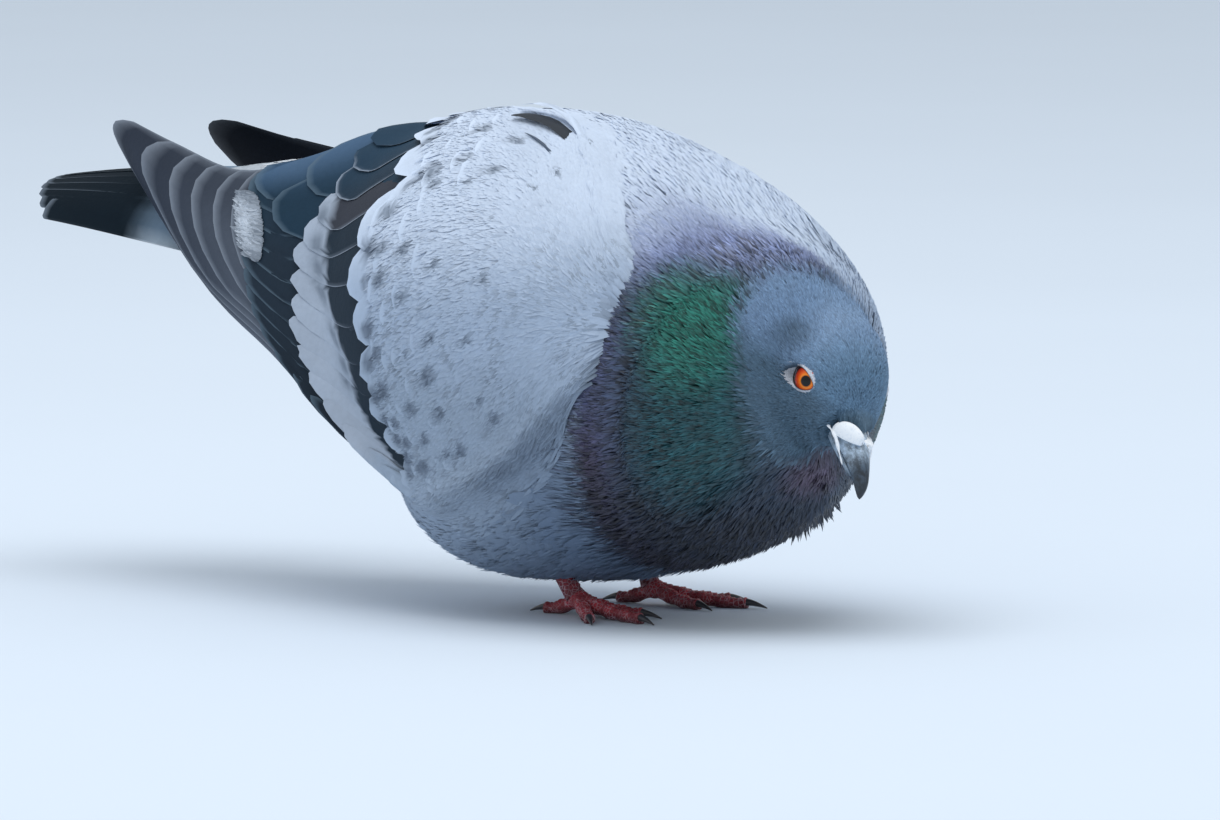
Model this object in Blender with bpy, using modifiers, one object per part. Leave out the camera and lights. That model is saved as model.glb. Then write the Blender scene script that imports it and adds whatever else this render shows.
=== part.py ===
"""A life-size feral pigeon, fluffed against the cold, standing low with its head turned down to the ground.

The bird faces -Y with its left side at +X, and stands on z = 0. Lengths below are in millimetres and become
metres when a mesh is made. The body is blended from egg-shaped masses, as a sculptor builds up clay, and its
surface is found along spokes that leave a spine. A plane across the spine parts the trunk from the neck, and a
ring of spokes from the neck's centre parts the neck from the head.
"""

import math

import bmesh
import bpy
import numpy as np
from mathutils import Vector

MM = 0.001
GAP = 0.3  # clearance between two pieces that meet


def place(*numbers):
    return np.array(numbers, float)


def unit(v):
    return v / np.linalg.norm(v, axis=-1, keepdims=True)


# ---------------------------------------------------------------- driving dimensions

# The head is tipped down and turned a little to the bird's right.
HEAD_CENTRE = place(-1.5, -82, 65.5)
HEAD_FORWARD = unit(place(-0.30, -0.648, -0.705))
HEAD_RIGHT = unit(np.cross(HEAD_FORWARD, place(-0.037, -0.745, 0.65)))
HEAD_UP = np.cross(HEAD_RIGHT, HEAD_FORWARD)
HEAD_AXES = np.stack([-HEAD_RIGHT, -HEAD_FORWARD, HEAD_UP])

BILL_ROOT = 18.0  # how far the feathers reach in front of the head's centre
TAIL_ROOT = 114.0  # y of the plane where the tail feathers leave their coverts
TAIL_TIP = 185.0
MIDDLE = 40.7  # y half way from bill to tail, which becomes the origin
BLEND = 9.0  # how softly the body's masses run into each other
FACE_BLEND = 5.0

EYE_RADIUS = 5.5
EYE_SEAT = place(7.6, 6.1, 1.2)  # sideways, forward and up from the head's centre
EYE_OPENING = place(4.2, 4.2, 2.7)  # half sizes of the almond between the lids, cut into the head's side
EYE_OPENING_SEAT = place(14.0, 7.0, 1.4)

WING_THICKNESS = 2.4
WING_BULGE = 3.0
WING_GAP = 1.2
WING_SPLIT = 0.63  # share of the wing's length where the primaries come out from under the secondaries
PRIMARY_THICKNESS = 1.6
TAIL_THICKNESS = 1.6

TARSUS_RADIUS = 2.1
TOE_RADIUS = 1.75
CLAW_RADIUS = 0.95
KNUCKLE = place(2.7, 2.9, 2.5)


def head_point(left, forward, up):
    """A point given from the head's centre, along the head's own axes."""
    return HEAD_CENTRE + place(left, -forward, up) @ HEAD_AXES


def pitched(degrees):
    """Axes of a mass whose rear end is raised by this angle."""
    c, s = math.cos(math.radians(degrees)), math.sin(math.radians(degrees))
    return np.array([[1, 0, 0], [0, c, s], [0, -s, c]])


# name: centre, radii along its own axes, axes, blend
MASSES = {
    "trunk": (place(0, -1, 68), place(52.5, 78, 55.5), pitched(14), BLEND),
    "belly": (place(0, 4, 40), place(38, 42, 30), pitched(2), BLEND),
    "left_flank": (place(20, 8, 36), place(25, 29, 24), pitched(0), BLEND),
    "right_flank": (place(-20, 8, 36), place(25, 29, 24), pitched(0), BLEND),
    "left_shoulder": (place(21, -24, 74.5), place(29, 42, 32.5), pitched(16), BLEND),
    "right_shoulder": (place(-21, -24, 74.5), place(29, 42, 32.5), pitched(16), BLEND),
    "breast": (place(0, -41, 60), place(48, 38, 39), pitched(0), BLEND),
    "rump": (place(0, 66, 90), place(30, 58, 17), pitched(9), BLEND),
    "vent": (place(0, 60, 71), place(25, 52, 21), pitched(22), BLEND),
    "hind_neck": (place(-1, -62, 74), place(25, 22, 22), pitched(0), BLEND),
    "throat": (place(-3, -61, 47), place(24, 21, 20), pitched(0), BLEND),
    "skull": (HEAD_CENTRE, place(13.5, 17.5, 14), HEAD_AXES, FACE_BLEND),
    "face": (head_point(0, 10, -2.5), place(8.5, 11, 8), HEAD_AXES, FACE_BLEND),
}


def body_distance(points):
    """Roughly the distance to the body's surface: below zero inside, the masses blended where they meet."""
    total = None
    for centre, radii, axes, blend in MASSES.values():
        local = (points - centre) @ axes.T
        near = np.linalg.norm(local / radii, axis=-1)
        slope = np.linalg.norm(local / radii**2, axis=-1) + 1e-9
        distance = near * (near - 1) / slope
        if total is None:
            total = distance
            continue
        overlap = np.maximum(blend - np.abs(total - distance), 0) / blend
        total = np.minimum(total, distance) - overlap**2 * blend / 4
    bill_plane = (points - HEAD_CENTRE) @ HEAD_FORWARD - BILL_ROOT
    tail_plane = points[..., 1] - TAIL_ROOT
    return np.maximum(np.maximum(total, bill_plane), tail_plane)


def reach(starts, spokes, furthest=95.0, steps=96, halvings=14):
    """How far each spoke runs from its start, inside the body, to the first place where it leaves it."""
    near = np.zeros(starts.shape[:-1])
    far = np.full(starts.shape[:-1], furthest)
    out = np.zeros(starts.shape[:-1], bool)
    for step in np.linspace(0, furthest, steps)[1:]:
        left = ~out & (body_distance(starts + spokes * step) > 0)
        far[left] = step
        near[left] = step - furthest / (steps - 1)
        out |= left
    for _ in range(halvings):
        middle = (near + far) / 2
        inside = body_distance(starts + spokes * middle[..., None]) < 0
        near = np.where(inside, middle, near)
        far = np.where(inside, far, middle)
    return (near + far) / 2


def smooth_line(points, shares):
    """Points at these shares, 0 to 1, of a Catmull-Rom curve through the given ones."""
    points = np.asarray(points, float)
    last = len(points) - 1
    at = np.clip(shares, 0, 1) * last
    index = np.minimum(at.astype(int), last - 1)
    f = (at - index)[:, None]
    a, b, c, d = (points[np.clip(index + k, 0, last)] for k in (-1, 0, 1, 2))
    return 0.5 * (2 * b + (c - a) * f + (2 * a - 5 * b + 4 * c - d) * f**2 + (3 * b - a - 3 * c + d) * f**3)


# ---------------------------------------------------------------- materials and meshes


def material(name, colour, roughness=0.6, metallic=0.0):
    made = bpy.data.materials.new(name)
    made.use_nodes = True
    shader = made.node_tree.nodes["Principled BSDF"]
    shader.inputs["Base Color"].default_value = (*colour, 1)
    shader.inputs["Roughness"].default_value = roughness
    shader.inputs["Metallic"].default_value = metallic
    return made


def clear_scene():
    for old in list(bpy.data.objects):
        bpy.data.objects.remove(old)


def collection(name, hidden=False):
    made = bpy.data.collections.new(name)
    bpy.context.scene.collection.children.link(made)
    made.hide_render = hidden
    return made


def add_object(name, mesh, finish, into):
    made = bpy.data.objects.new(name, mesh)
    into.objects.link(made)
    made.data.materials.append(finish)
    made.data.shade_smooth()
    return made


def grid_faces(rows, columns, wrap):
    """Quads of a grid of points, numbered row by row. With wrap, the last column joins the first."""
    row, column = np.meshgrid(np.arange(rows - 1), np.arange(columns - (not wrap)), indexing="ij")
    after = (column + 1) % columns
    here, below = row * columns, (row + 1) * columns
    return np.stack([here + column, here + after, below + after, below + column], -1).reshape(-1, 4)


def mesh_from(name, points, faces):
    mesh = bpy.data.meshes.new(name)
    corners = [[int(corner) for corner in face] for face in faces]
    mesh.from_pydata((np.asarray(points).reshape(-1, 3) * MM).tolist(), [], corners)
    work = bmesh.new()
    work.from_mesh(mesh)
    bmesh.ops.recalc_face_normals(work, faces=work.faces)
    work.to_mesh(mesh)
    work.free()
    return mesh


def loft(name, rings, finish, into, tips=(None, None)):
    """A closed body through rings of points. Each end closes on a tip, or on the middle of its ring."""
    rows, columns = rings.shape[:2]
    first = rings[0].mean(0) if tips[0] is None else tips[0]
    last = rings[-1].mean(0) if tips[1] is None else tips[1]
    points = np.concatenate([rings.reshape(-1, 3), [first, last]])
    faces = grid_faces(rows, columns, True).tolist()
    end = (rows - 1) * columns
    for k in range(columns):
        after = (k + 1) % columns
        faces.append([rows * columns, after, k])
        faces.append([rows * columns + 1, end + k, end + after])
    return add_object(name, mesh_from(name, points, faces), finish, into)


def cut_with(target, cutter, operation="DIFFERENCE"):
    modifier = target.modifiers.new(operation.lower(), "BOOLEAN")
    modifier.object = cutter
    modifier.operation = operation
    modifier.solver = "EXACT"


def ball(name, centre, radii, axes, finish, into, segments=16, rings=10):
    """An egg: a UV sphere scaled and turned, with its pole along its own sideways axis."""
    mesh = bpy.data.meshes.new(name)
    work = bmesh.new()
    bmesh.ops.create_uvsphere(work, u_segments=segments, v_segments=rings, radius=1)
    turned = np.array([[v.co.z, v.co.x, v.co.y] for v in work.verts]) * radii
    for vertex, spot in zip(work.verts, (turned @ axes + centre) * MM):
        vertex.co = Vector(spot)
    work.to_mesh(mesh)
    work.free()
    return add_object(name, mesh, finish, into)


def tube(name, points, radii, finish, into, sides=2):
    """A round bar through these points as a bevelled curve, made a mesh so that it can be cut or joined."""
    curve = bpy.data.curves.new(name, "CURVE")
    curve.dimensions = "3D"
    curve.bevel_depth = MM
    curve.bevel_resolution = sides
    curve.use_fill_caps = True
    line = curve.splines.new("POLY")
    line.points.add(len(points) - 1)
    for spot, at, radius in zip(line.points, points, radii):
        spot.co = (*(np.asarray(at) * MM), 1)
        spot.radius = radius
    guide = bpy.data.objects.new(name + "_guide", curve)
    into.objects.link(guide)
    mesh = bpy.data.meshes.new_from_object(guide.evaluated_get(bpy.context.evaluated_depsgraph_get()))
    bpy.data.objects.remove(guide)
    work = bmesh.new()
    work.from_mesh(mesh)
    bmesh.ops.remove_doubles(work, verts=work.verts, dist=1e-6)
    bmesh.ops.recalc_face_normals(work, faces=work.faces)
    work.to_mesh(mesh)
    work.free()
    mesh.materials.clear()
    return add_object(name, mesh, finish, into)


# ---------------------------------------------------------------- body: trunk, neck and head

# Spine stations, tail to neck: y, z, and how far the cross-section there leans forward, in degrees.
SPINE = [
    (98, 101, -8), (78, 96, -10), (50, 87, -11), (20, 77, -9),
    (-10, 68, -4), (-36, 62, 3), (-53, 60, 9), (-64, 60, 13),
]  # fmt: skip
NECK_CENTRE = place(-1, -64, 60)  # the spokes of the neck and head all leave this point
BILL_WAY = unit(head_point(0, BILL_ROOT, 0) - NECK_CENTRE)
NECK_AT = 0.80  # share of the spine where the dark neck feathers begin
NAPE_FAN, THROAT_FAN = 20.0, 66.0  # degrees that spokes lean towards the bill at the back edge of the head
PARTING = 0.4  # degrees that spokes lean either side of a parting, for a thin gap


def smooth_step(x, low, high):
    t = np.clip((x - low) / (high - low), 0, 1)
    return t * t * (3 - 2 * t)


def spine_frames(shares):
    """Centre, upward, sideways and tailward directions of the cross-section at each share of the spine."""
    line = smooth_line(SPINE, shares)
    lean = np.radians(line[:, 2])
    toward_head = smooth_step(shares, 0.65, 1)[:, None]
    level = np.stack([np.zeros_like(lean), np.cos(lean), np.sin(lean)], 1)
    tailward = unit((1 - toward_head) * level - toward_head * BILL_WAY)
    side = unit(np.cross(tailward, place(0, 0, 1)))
    up = np.cross(side, tailward)
    centre = np.stack([toward_head[:, 0] * NECK_CENTRE[0], line[:, 0], line[:, 1]], 1)
    return centre, up, side, tailward


def body_rings(shares, turn, fan=0.0):
    """Surface points at the ends of spokes. turn goes round the spine, and fan leans towards the bill."""
    turn = np.atleast_1d(turn)
    shares = np.atleast_1d(np.asarray(shares, float))
    fan = np.radians(np.broadcast_to(fan, (len(shares), len(turn))))[..., None]
    centre, up, side, tailward = spine_frames(shares)
    flat = np.cos(turn)[None, :, None] * up[:, None] + np.sin(turn)[None, :, None] * side[:, None]
    spokes = np.cos(fan) * flat - np.sin(fan) * tailward[:, None]
    starts = np.broadcast_to(centre[:, None], spokes.shape)
    return starts + spokes * reach(starts, spokes)[..., None]


def around(columns):
    return np.linspace(0, 2 * np.pi, columns, endpoint=False)


def head_edge(turn):
    """How far a spoke leans where the head feathers begin: little at the nape and much at the throat."""
    return NAPE_FAN + (THROAT_FAN - NAPE_FAN) * ((1 - np.cos(turn)) / 2) ** 3


def make_body(parts, cutters, finishes):
    turn = around(32)
    tail_cap = body_rings(np.zeros(3), turn, np.array([-68, -45, -22])[:, None])
    trunk_rings = body_rings(np.linspace(0, NECK_AT, 21), turn)
    trunk_rings[-1] += place(0, GAP, 0)
    tail_tip = body_rings([0], [0], -90)[0, 0]
    trunk_rings = np.concatenate([tail_cap, trunk_rings])
    trunk = loft("trunk", trunk_rings, finishes["pale grey"], parts, (tail_tip, None))

    edge = head_edge(turn)[None]
    neck_base = body_rings(np.linspace(NECK_AT, 0.99, 5), turn)
    neck_front = body_rings(np.ones(6), turn, np.linspace(0, 1, 6)[:, None] * (edge - PARTING))
    neck_rings = np.concatenate([neck_base, neck_front])
    middle = neck_rings[-1].mean(0)
    loft("neck", neck_rings, finishes["neck green"], parts, (None, middle - GAP * BILL_WAY))

    share = np.linspace(0, 1, 9)[:-1, None]
    head_rings = body_rings(np.ones(8), turn, (1 - share) * (edge + PARTING) + share * 90)
    bill_seat = body_rings([1], [0], 90)[0, 0]
    head = loft("head", head_rings, finishes["head grey"], parts, (middle + GAP * BILL_WAY, bill_seat))
    for side, sign in (("left", 1), ("right", -1)):
        seat = head_point(sign * EYE_SEAT[0], EYE_SEAT[1], EYE_SEAT[2])
        size = place(1, 1, 1) * EYE_RADIUS
        ball(f"eye_{side}", seat, size, HEAD_AXES, finishes["iris"], parts)
        socket = ball(f"socket_{side}", seat, size + GAP, HEAD_AXES, finishes["iris"], cutters)
        cut_with(head, socket)
        spot = head_point(sign * EYE_OPENING_SEAT[0], EYE_OPENING_SEAT[1], EYE_OPENING_SEAT[2])
        lids = ball(f"lids_{side}", spot, EYE_OPENING, HEAD_AXES, finishes["iris"], cutters, 16, 8)
        cut_with(head, lids)
    return trunk, head


# ---------------------------------------------------------------- bill


def bill_section(forward, centre_up, half_width, top, bottom, sides=14):
    """A ring round the bill: an oval that is flat where the two halves meet."""
    turn = np.linspace(0, 2 * np.pi, sides, endpoint=False)
    rise = np.where(np.cos(turn) > 0, top, bottom) * np.cos(turn)
    sideways = half_width * np.sin(turn)
    return np.array([head_point(s, forward, centre_up + r) for s, r in zip(sideways, rise)])


def make_bill(parts, finishes):
    root = BILL_ROOT + GAP
    # forward, height of the gape line, half width, height above it
    upper = [
        (root, -2.4, 4.6, 4.7), (22, -2.8, 4.2, 4.8), (26, -3.2, 3.3, 4.9), (29.1, -3.5, 2.7, 4.6),
        (32.6, -4.1, 2.1, 3.9), (35.8, -5.3, 1.4, 3.5), (37.3, -6.0, 0.8, 2.4),
    ]  # fmt: skip
    rings = np.array([bill_section(f, u, w, h, 0.3) for f, u, w, h in upper])
    bill_upper = loft("bill_upper", rings, finishes["horn"], parts, (None, head_point(0, 37.9, -5.6)))
    lower = [(root, -3.0, 4.2, 3.6), (22, -3.4, 3.6, 3.2), (26, -3.8, 2.9, 2.4), (30, -4.2, 2.1, 1.6)]
    rings = np.array([bill_section(f, u - GAP, w, 0.1, h) for f, u, w, h in lower])
    loft("bill_lower", rings, finishes["horn"], parts, (None, head_point(0, 33, -5.2)))
    return bill_upper


def make_cere(bill_upper, head, parts, cutters, finishes):
    """Two swollen lobes that run from the gape, over the root of the upper bill, to meet on its ridge."""
    lobes = []
    for side, sign in (("left", 1), ("right", -1)):
        back, front = head_point(sign * 5.0, 17.2, -1.9), head_point(sign * 0.9, 26.6, 1.6)
        length = np.linalg.norm(front - back)
        long_way = (front - back) / length
        outward = unit(np.cross(long_way, HEAD_UP) * -sign)
        axes = np.stack([outward, -long_way, np.cross(outward, -long_way)])
        radii = place(2.5, length / 2, 2.9)
        centre = (back + front) / 2
        name, home = ("cere", parts) if sign > 0 else ("cere_second_lobe", cutters)
        lobes.append(ball(name, centre, radii, axes, finishes["cere"], home, 12, 8))
        seat = ball(f"cere_seat_{side}", centre, radii + GAP, axes, finishes["cere"], cutters, 12, 8)
        cut_with(bill_upper, seat)
        cut_with(head, seat)
    cut_with(lobes[0], lobes[1], "UNION")


# ---------------------------------------------------------------- wings

# Edges of the folded right wing, from its bend to its tip.
WING_TOP_EDGE = [
    (-34, -44, 92), (-14, -12, 116), (-10, 25, 122), (-19, 52, 119),
    (-26, 74, 110), (-28, 95, 103), (-23, 122, 109), (-16, 152, 118),
]  # fmt: skip
WING_LOW_EDGE = [
    (-50, -44, 66), (-50, -22, 48), (-47, 0, 38), (-44, 20, 35),
    (-44, 45, 47), (-40, 74, 64), (-33, 105, 80), (-16, 152, 115),
]  # fmt: skip
WING_AXIS_START = place(0, -40, 66)
WING_RISE = math.radians(13.5)
WING_AXIS = place(0, math.cos(WING_RISE), math.sin(WING_RISE))
WING_AXIS_UP = place(0, -math.sin(WING_RISE), math.cos(WING_RISE))


def wing_sheet(along, across, sign, lift):
    """Points of the folded wing: a strip between its two edges, pushed out to lie on the body."""
    upper = smooth_line(WING_TOP_EDGE, along)[:, None]
    lower = smooth_line(WING_LOW_EDGE, along)[:, None]
    share = across[None, :, None]
    strip = upper * (1 - share) + lower * share - WING_AXIS_START
    distance_along = strip @ WING_AXIS
    height, sideways = strip @ WING_AXIS_UP, strip[..., 0]
    radius = np.hypot(height, sideways) + WING_BULGE * 4 * (across * (1 - across))[None, :]
    start = WING_AXIS_START + distance_along[..., None] * WING_AXIS
    spoke = unit(height[..., None] * WING_AXIS_UP + sideways[..., None] * place(1, 0, 0))
    on_body = np.where(body_distance(start) < -1, reach(start, spoke), 0) + lift
    soft = 4.0
    near = np.maximum(soft - np.abs(radius - on_body), 0) / soft
    radius = np.maximum(radius, on_body) + near**2 * soft / 4
    points = start + spoke * radius[..., None]
    points[..., 0] *= -sign
    return points


def sheet_object(name, grid, thickness, edge_share, finish, into):
    """An open grid given a wall by Solidify. edge_share is each point's share of the full thickness."""
    rows, columns = grid.shape[:2]
    mesh = bpy.data.meshes.new(name)
    mesh.from_pydata((grid.reshape(-1, 3) * MM).tolist(), [], grid_faces(rows, columns, False).tolist())
    made = add_object(name, mesh, finish, into)
    group = made.vertex_groups.new(name="wall")
    for index, weight in enumerate(edge_share.ravel()):
        group.add([index], float(weight), "REPLACE")
    wall = made.modifiers.new("wall", "SOLIDIFY")
    wall.thickness = thickness * MM
    wall.offset = 1
    wall.vertex_group = "wall"
    wall.thickness_vertex_group = 0.0
    return made


def make_wing(side, sign, parts, finishes):
    """The folded wing's covert shield, and the long primaries that come out from under it."""
    across = np.linspace(0, 1, 9)
    for name, start, end, rows, wall, finish in (
        ("wing", 0.0, WING_SPLIT - 0.002, 17, WING_THICKNESS, "covert grey"),
        ("primaries", WING_SPLIT + 0.002, 1.0, 11, PRIMARY_THICKNESS, "primary brown"),
    ):
        along = np.linspace(start, end, rows)
        grid = wing_sheet(along, across if sign > 0 else across[::-1], sign, WING_GAP)
        rim = np.minimum(1, 0.3 + along / 0.12)[:, None] * np.minimum(1, 0.3 + across / 0.12)[None, :]
        if name == "primaries":
            rim = np.linspace(1, 0.6, rows)[:, None] * np.ones_like(across)[None, :]
        elif sign < 0:
            rim = rim[:, ::-1]
        sheet_object(f"{name}_{side}", grid, wall, rim, finishes[finish], parts)


# ---------------------------------------------------------------- tail

TAIL_FEATHERS = 12
TAIL_ROOF = (20.0, 10.0)  # how far its sides hang below its ridge, at the root and at the tip


def make_tail(parts, finishes):
    """Twelve feathers closed into one roof-shaped fan, each ending in a round tip."""
    rows, columns = 9, 2 * TAIL_FEATHERS + 1
    along = np.linspace(0, 1, rows)[:, None]
    across = np.linspace(-1, 1, columns)[None, :]
    half_width = 17 + 9 * np.sqrt(along)
    tip = TAIL_TIP - 12 * across**2 - 1.6 * np.abs(np.cos(np.pi * TAIL_FEATHERS / 2 * (across + 1)))
    root = TAIL_ROOT + 2 * GAP
    roof = TAIL_ROOF[0] + (TAIL_ROOF[1] - TAIL_ROOF[0]) * along
    grid = np.empty((rows, columns, 3))
    grid[..., 0] = half_width * across
    grid[..., 1] = root + along * (tip - root)
    grid[..., 2] = 104.5 - 2.5 * along - 4 * along**3 - roof * np.abs(across) ** 2.2
    sheet_object("tail", grid, TAIL_THICKNESS, np.ones(grid.shape[:2]), finishes["tail grey"], parts)


# ---------------------------------------------------------------- legs, feet and claws

FEET = {"left": place(20.8, -2.5, 0), "right": place(-12.2, -7.5, 0)}
ANKLES = {"left": place(21.8, 8.5, 23), "right": place(-13.2, 11.5, 23)}
TURNED_OUT = {"left": 16, "right": 6}  # degrees from straight ahead that each foot points outward
# length and heading of each toe, in degrees out from straight ahead
TOES = {"inner": (17, -24), "middle": (25, 4), "outer": (19, 34), "hind": (11, 172)}
CLAW_LENGTH = 5.5
TOE_START = 0.8  # from the middle of the knuckle, inside it
FOOT_RISE = 2.6  # how far the toes come down from where they meet the shank


def toe_line(ball_of_foot, length, heading, sign, count=6):
    """Centre line of a toe that leaves the raised ball of the foot and comes down to lie on its pads."""
    angle = math.radians(heading)
    ahead = place(sign * math.sin(angle), -math.cos(angle), 0)
    share = np.linspace(0, 1, count)[:, None]
    height = TOE_RADIUS - 0.3 + FOOT_RISE * (1 - share) ** 2 - 0.25 * share
    return ball_of_foot + (TOE_START + share * (length - TOE_START)) * ahead + height * place(0, 0, 1), ahead


def make_ground(cutters, finish):
    """A block whose top is the ground: it cuts the pads and claws off flat."""
    mesh = bpy.data.meshes.new("ground")
    work = bmesh.new()
    bmesh.ops.create_cube(work, size=1)
    bmesh.ops.scale(work, vec=place(200, 200, 10) * MM, verts=work.verts)
    bmesh.ops.translate(work, vec=place(0, 0, -5) * MM, verts=work.verts)
    work.to_mesh(mesh)
    work.free()
    return add_object("ground", mesh, finish, cutters)


def make_foot(side, sign, ground, parts, cutters, finishes):
    """Four toes that grow from one knuckle, each with its claw."""
    red = finishes["leg red"]
    knuckle_centre = FEET[side] + place(0, 0, FOOT_RISE + 1.4)
    foot = ball(f"foot_{side}", knuckle_centre, KNUCKLE, np.eye(3), red, parts, 12, 8)
    for toe, (length, heading) in TOES.items():
        line, ahead = toe_line(FEET[side], length, heading + TURNED_OUT[side], sign)
        radii = np.linspace(TOE_RADIUS + 0.2, TOE_RADIUS - 0.35, len(line))
        cut_with(foot, tube(f"toe_{toe}_{side}", line, radii, red, cutters), "UNION")
        make_claw(f"claw_{toe}_{side}", line[-1], ahead, ground, parts, finishes)
    cut_with(foot, ground)
    return ball(f"knuckle_seat_{side}", knuckle_centre, KNUCKLE + GAP, np.eye(3), red, cutters, 12, 8)


def make_claw(name, toe_tip, ahead, ground, parts, finishes):
    """A curved cone that leaves the toe's end and turns down to the ground."""
    share = np.linspace(0, 1, 5)[:, None]
    rise = 0.45 - (toe_tip[2] + 0.45 - CLAW_RADIUS * 0.3) * share**1.6
    line = toe_tip + (GAP + share * CLAW_LENGTH) * ahead + rise * place(0, 0, 1)
    radii = CLAW_RADIUS * (1 - 0.62 * share[:, 0])
    cut_with(tube(name, line, radii, finishes["claw"], parts, sides=1), ground)


def make_leg(side, knuckle_seat, trunk, parts, cutters, finishes):
    """The bare shank, from inside the belly feathers down to the knuckle of the foot."""
    red = finishes["leg red"]
    ankle, top = ANKLES[side], FEET[side] + place(0, 1.4, FOOT_RISE + 5.6)
    share = np.linspace(0, 1, 7)[:, None]
    width = TARSUS_RADIUS + 0.5 * (2 * share[:, 0] - 1) ** 2
    leg = tube(f"leg_{side}", ankle + share * (top - ankle), width, red, parts)
    cut_with(leg, knuckle_seat)
    seat = tube(f"leg_seat_{side}", ankle + (share * 1.3 - 0.15) * (top - ankle), width + GAP, red, cutters)
    cut_with(trunk, seat)


def main():
    clear_scene()
    parts = collection("pigeon")
    cutters = collection("cutters", hidden=True)
    finishes = {
        "pale grey": material("pale grey", (0.42, 0.50, 0.62), 0.7),
        "neck green": material("neck green", (0.06, 0.16, 0.15), 0.45, 0.2),
        "head grey": material("head grey", (0.13, 0.19, 0.28), 0.7),
        "iris": material("iris", (0.85, 0.22, 0.02), 0.1),
        "horn": material("horn", (0.05, 0.06, 0.08), 0.4),
        "cere": material("cere", (0.80, 0.84, 0.88), 0.8),
        "covert grey": material("covert grey", (0.36, 0.44, 0.55), 0.7),
        "primary brown": material("primary brown", (0.08, 0.09, 0.12), 0.6),
        "tail grey": material("tail grey", (0.05, 0.07, 0.10), 0.6),
        "leg red": material("leg red", (0.35, 0.06, 0.07), 0.5),
        "claw": material("claw", (0.03, 0.03, 0.035), 0.35),
    }
    trunk, head = make_body(parts, cutters, finishes)
    bill_upper = make_bill(parts, finishes)
    make_cere(bill_upper, head, parts, cutters, finishes)
    make_tail(parts, finishes)
    ground = make_ground(cutters, finishes["claw"])
    for side, sign in (("left", 1), ("right", -1)):
        make_wing(side, sign, parts, finishes)
        knuckle_seat = make_foot(side, sign, ground, parts, cutters, finishes)
        make_leg(side, knuckle_seat, trunk, parts, cutters, finishes)
    for helper in cutters.objects:
        helper.hide_render = True
        helper.display_type = "WIRE"
    for made in (*parts.objects, *cutters.objects):
        made.location.y = -MIDDLE * MM


main()
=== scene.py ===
"""A life-size feral pigeon, fluffed against the cold, standing low with its head turned down to the ground.

The bird faces -Y with its left side at +X, and stands on z = 0. Lengths are in millimetres in the bird's own
measure, whose y starts 40.7 mm in front of the frame's, and become metres when a mesh is made. The skin is
blended from egg-shaped masses. Feathers are vanes and barbs that start at their roots on the skin, keep to
the curve of the body, and end at their tips a little above it.
"""

import math

import bpy
import mathutils
import numpy as np
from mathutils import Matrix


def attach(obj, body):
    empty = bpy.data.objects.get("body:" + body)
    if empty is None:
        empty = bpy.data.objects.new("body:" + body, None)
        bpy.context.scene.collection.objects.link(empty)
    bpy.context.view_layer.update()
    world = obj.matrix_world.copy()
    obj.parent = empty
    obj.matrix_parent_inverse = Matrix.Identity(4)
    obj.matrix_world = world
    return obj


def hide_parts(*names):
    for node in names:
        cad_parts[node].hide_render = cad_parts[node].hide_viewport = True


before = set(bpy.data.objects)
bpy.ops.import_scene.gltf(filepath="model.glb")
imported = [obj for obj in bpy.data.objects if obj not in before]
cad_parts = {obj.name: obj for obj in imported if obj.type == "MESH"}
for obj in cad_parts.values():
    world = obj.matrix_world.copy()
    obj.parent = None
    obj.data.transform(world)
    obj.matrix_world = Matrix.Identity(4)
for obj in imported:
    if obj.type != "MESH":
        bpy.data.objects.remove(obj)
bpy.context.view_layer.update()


# ---------------------------------------------------------------- camera, floor and light
# The bird stands on a plain pale floor that runs on past the view on every side. A wide soft panel overhead
# and an even pale surround light it as a cloudy winter sky does.

MM = 0.001
MIDDLE = 40.7  # the bird's own y at the frame's origin


def place(*numbers):
    """x, y and z as one vector."""
    return np.array(numbers, float)


def unit(v):
    """v / |v|, for one vector or an array of them."""
    return v / (np.linalg.norm(v, axis=-1, keepdims=True) + 1e-12)


def to_frame(points):
    """Millimetres in the bird's measure to metres in the frame."""
    return (points - place(0, MIDDLE, 0)) * MM


def paint(red, green, blue):
    """Linear colour of a paint chart's red, green and blue out of 255."""
    shade = np.array([red, green, blue], float) / 255
    return np.where(shade <= 0.04045, shade / 12.92, ((shade + 0.055) / 1.055) ** 2.4)


def new_material(name, roughness, **constants):
    """A Principled material. The constants are set on the shader's own sockets."""
    made = bpy.data.materials.new(name)
    made.use_nodes = True
    shader = made.node_tree.nodes["Principled BSDF"]
    shader.inputs["Roughness"].default_value = roughness
    for socket, value in constants.items():
        shader.inputs[socket.replace("_", " ")].default_value = value
    return made, made.node_tree, shader


def add_node(tree, kind, settings=(), **inputs):
    """A shader node with its settings, and with each named input linked to a socket or set to a value."""
    made = tree.nodes.new("ShaderNode" + kind)
    for key, value in dict(settings).items():
        setattr(made, key, value)
    for name, value in inputs.items():
        socket = made.inputs[int(name[1:])] if name[0] == "i" and name[1:].isdigit() else made.inputs[name]
        if isinstance(value, bpy.types.NodeSocket):
            tree.links.new(value, socket)
        else:
            socket.default_value = value
    return made


def shaded(tree, colour, value):
    """colour * value, as a socket."""
    settings = {"data_type": "RGBA", "blend_type": "MULTIPLY"}
    return add_node(tree, "Mix", settings, i0=1.0, i6=colour, i7=value).outputs[2]


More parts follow.
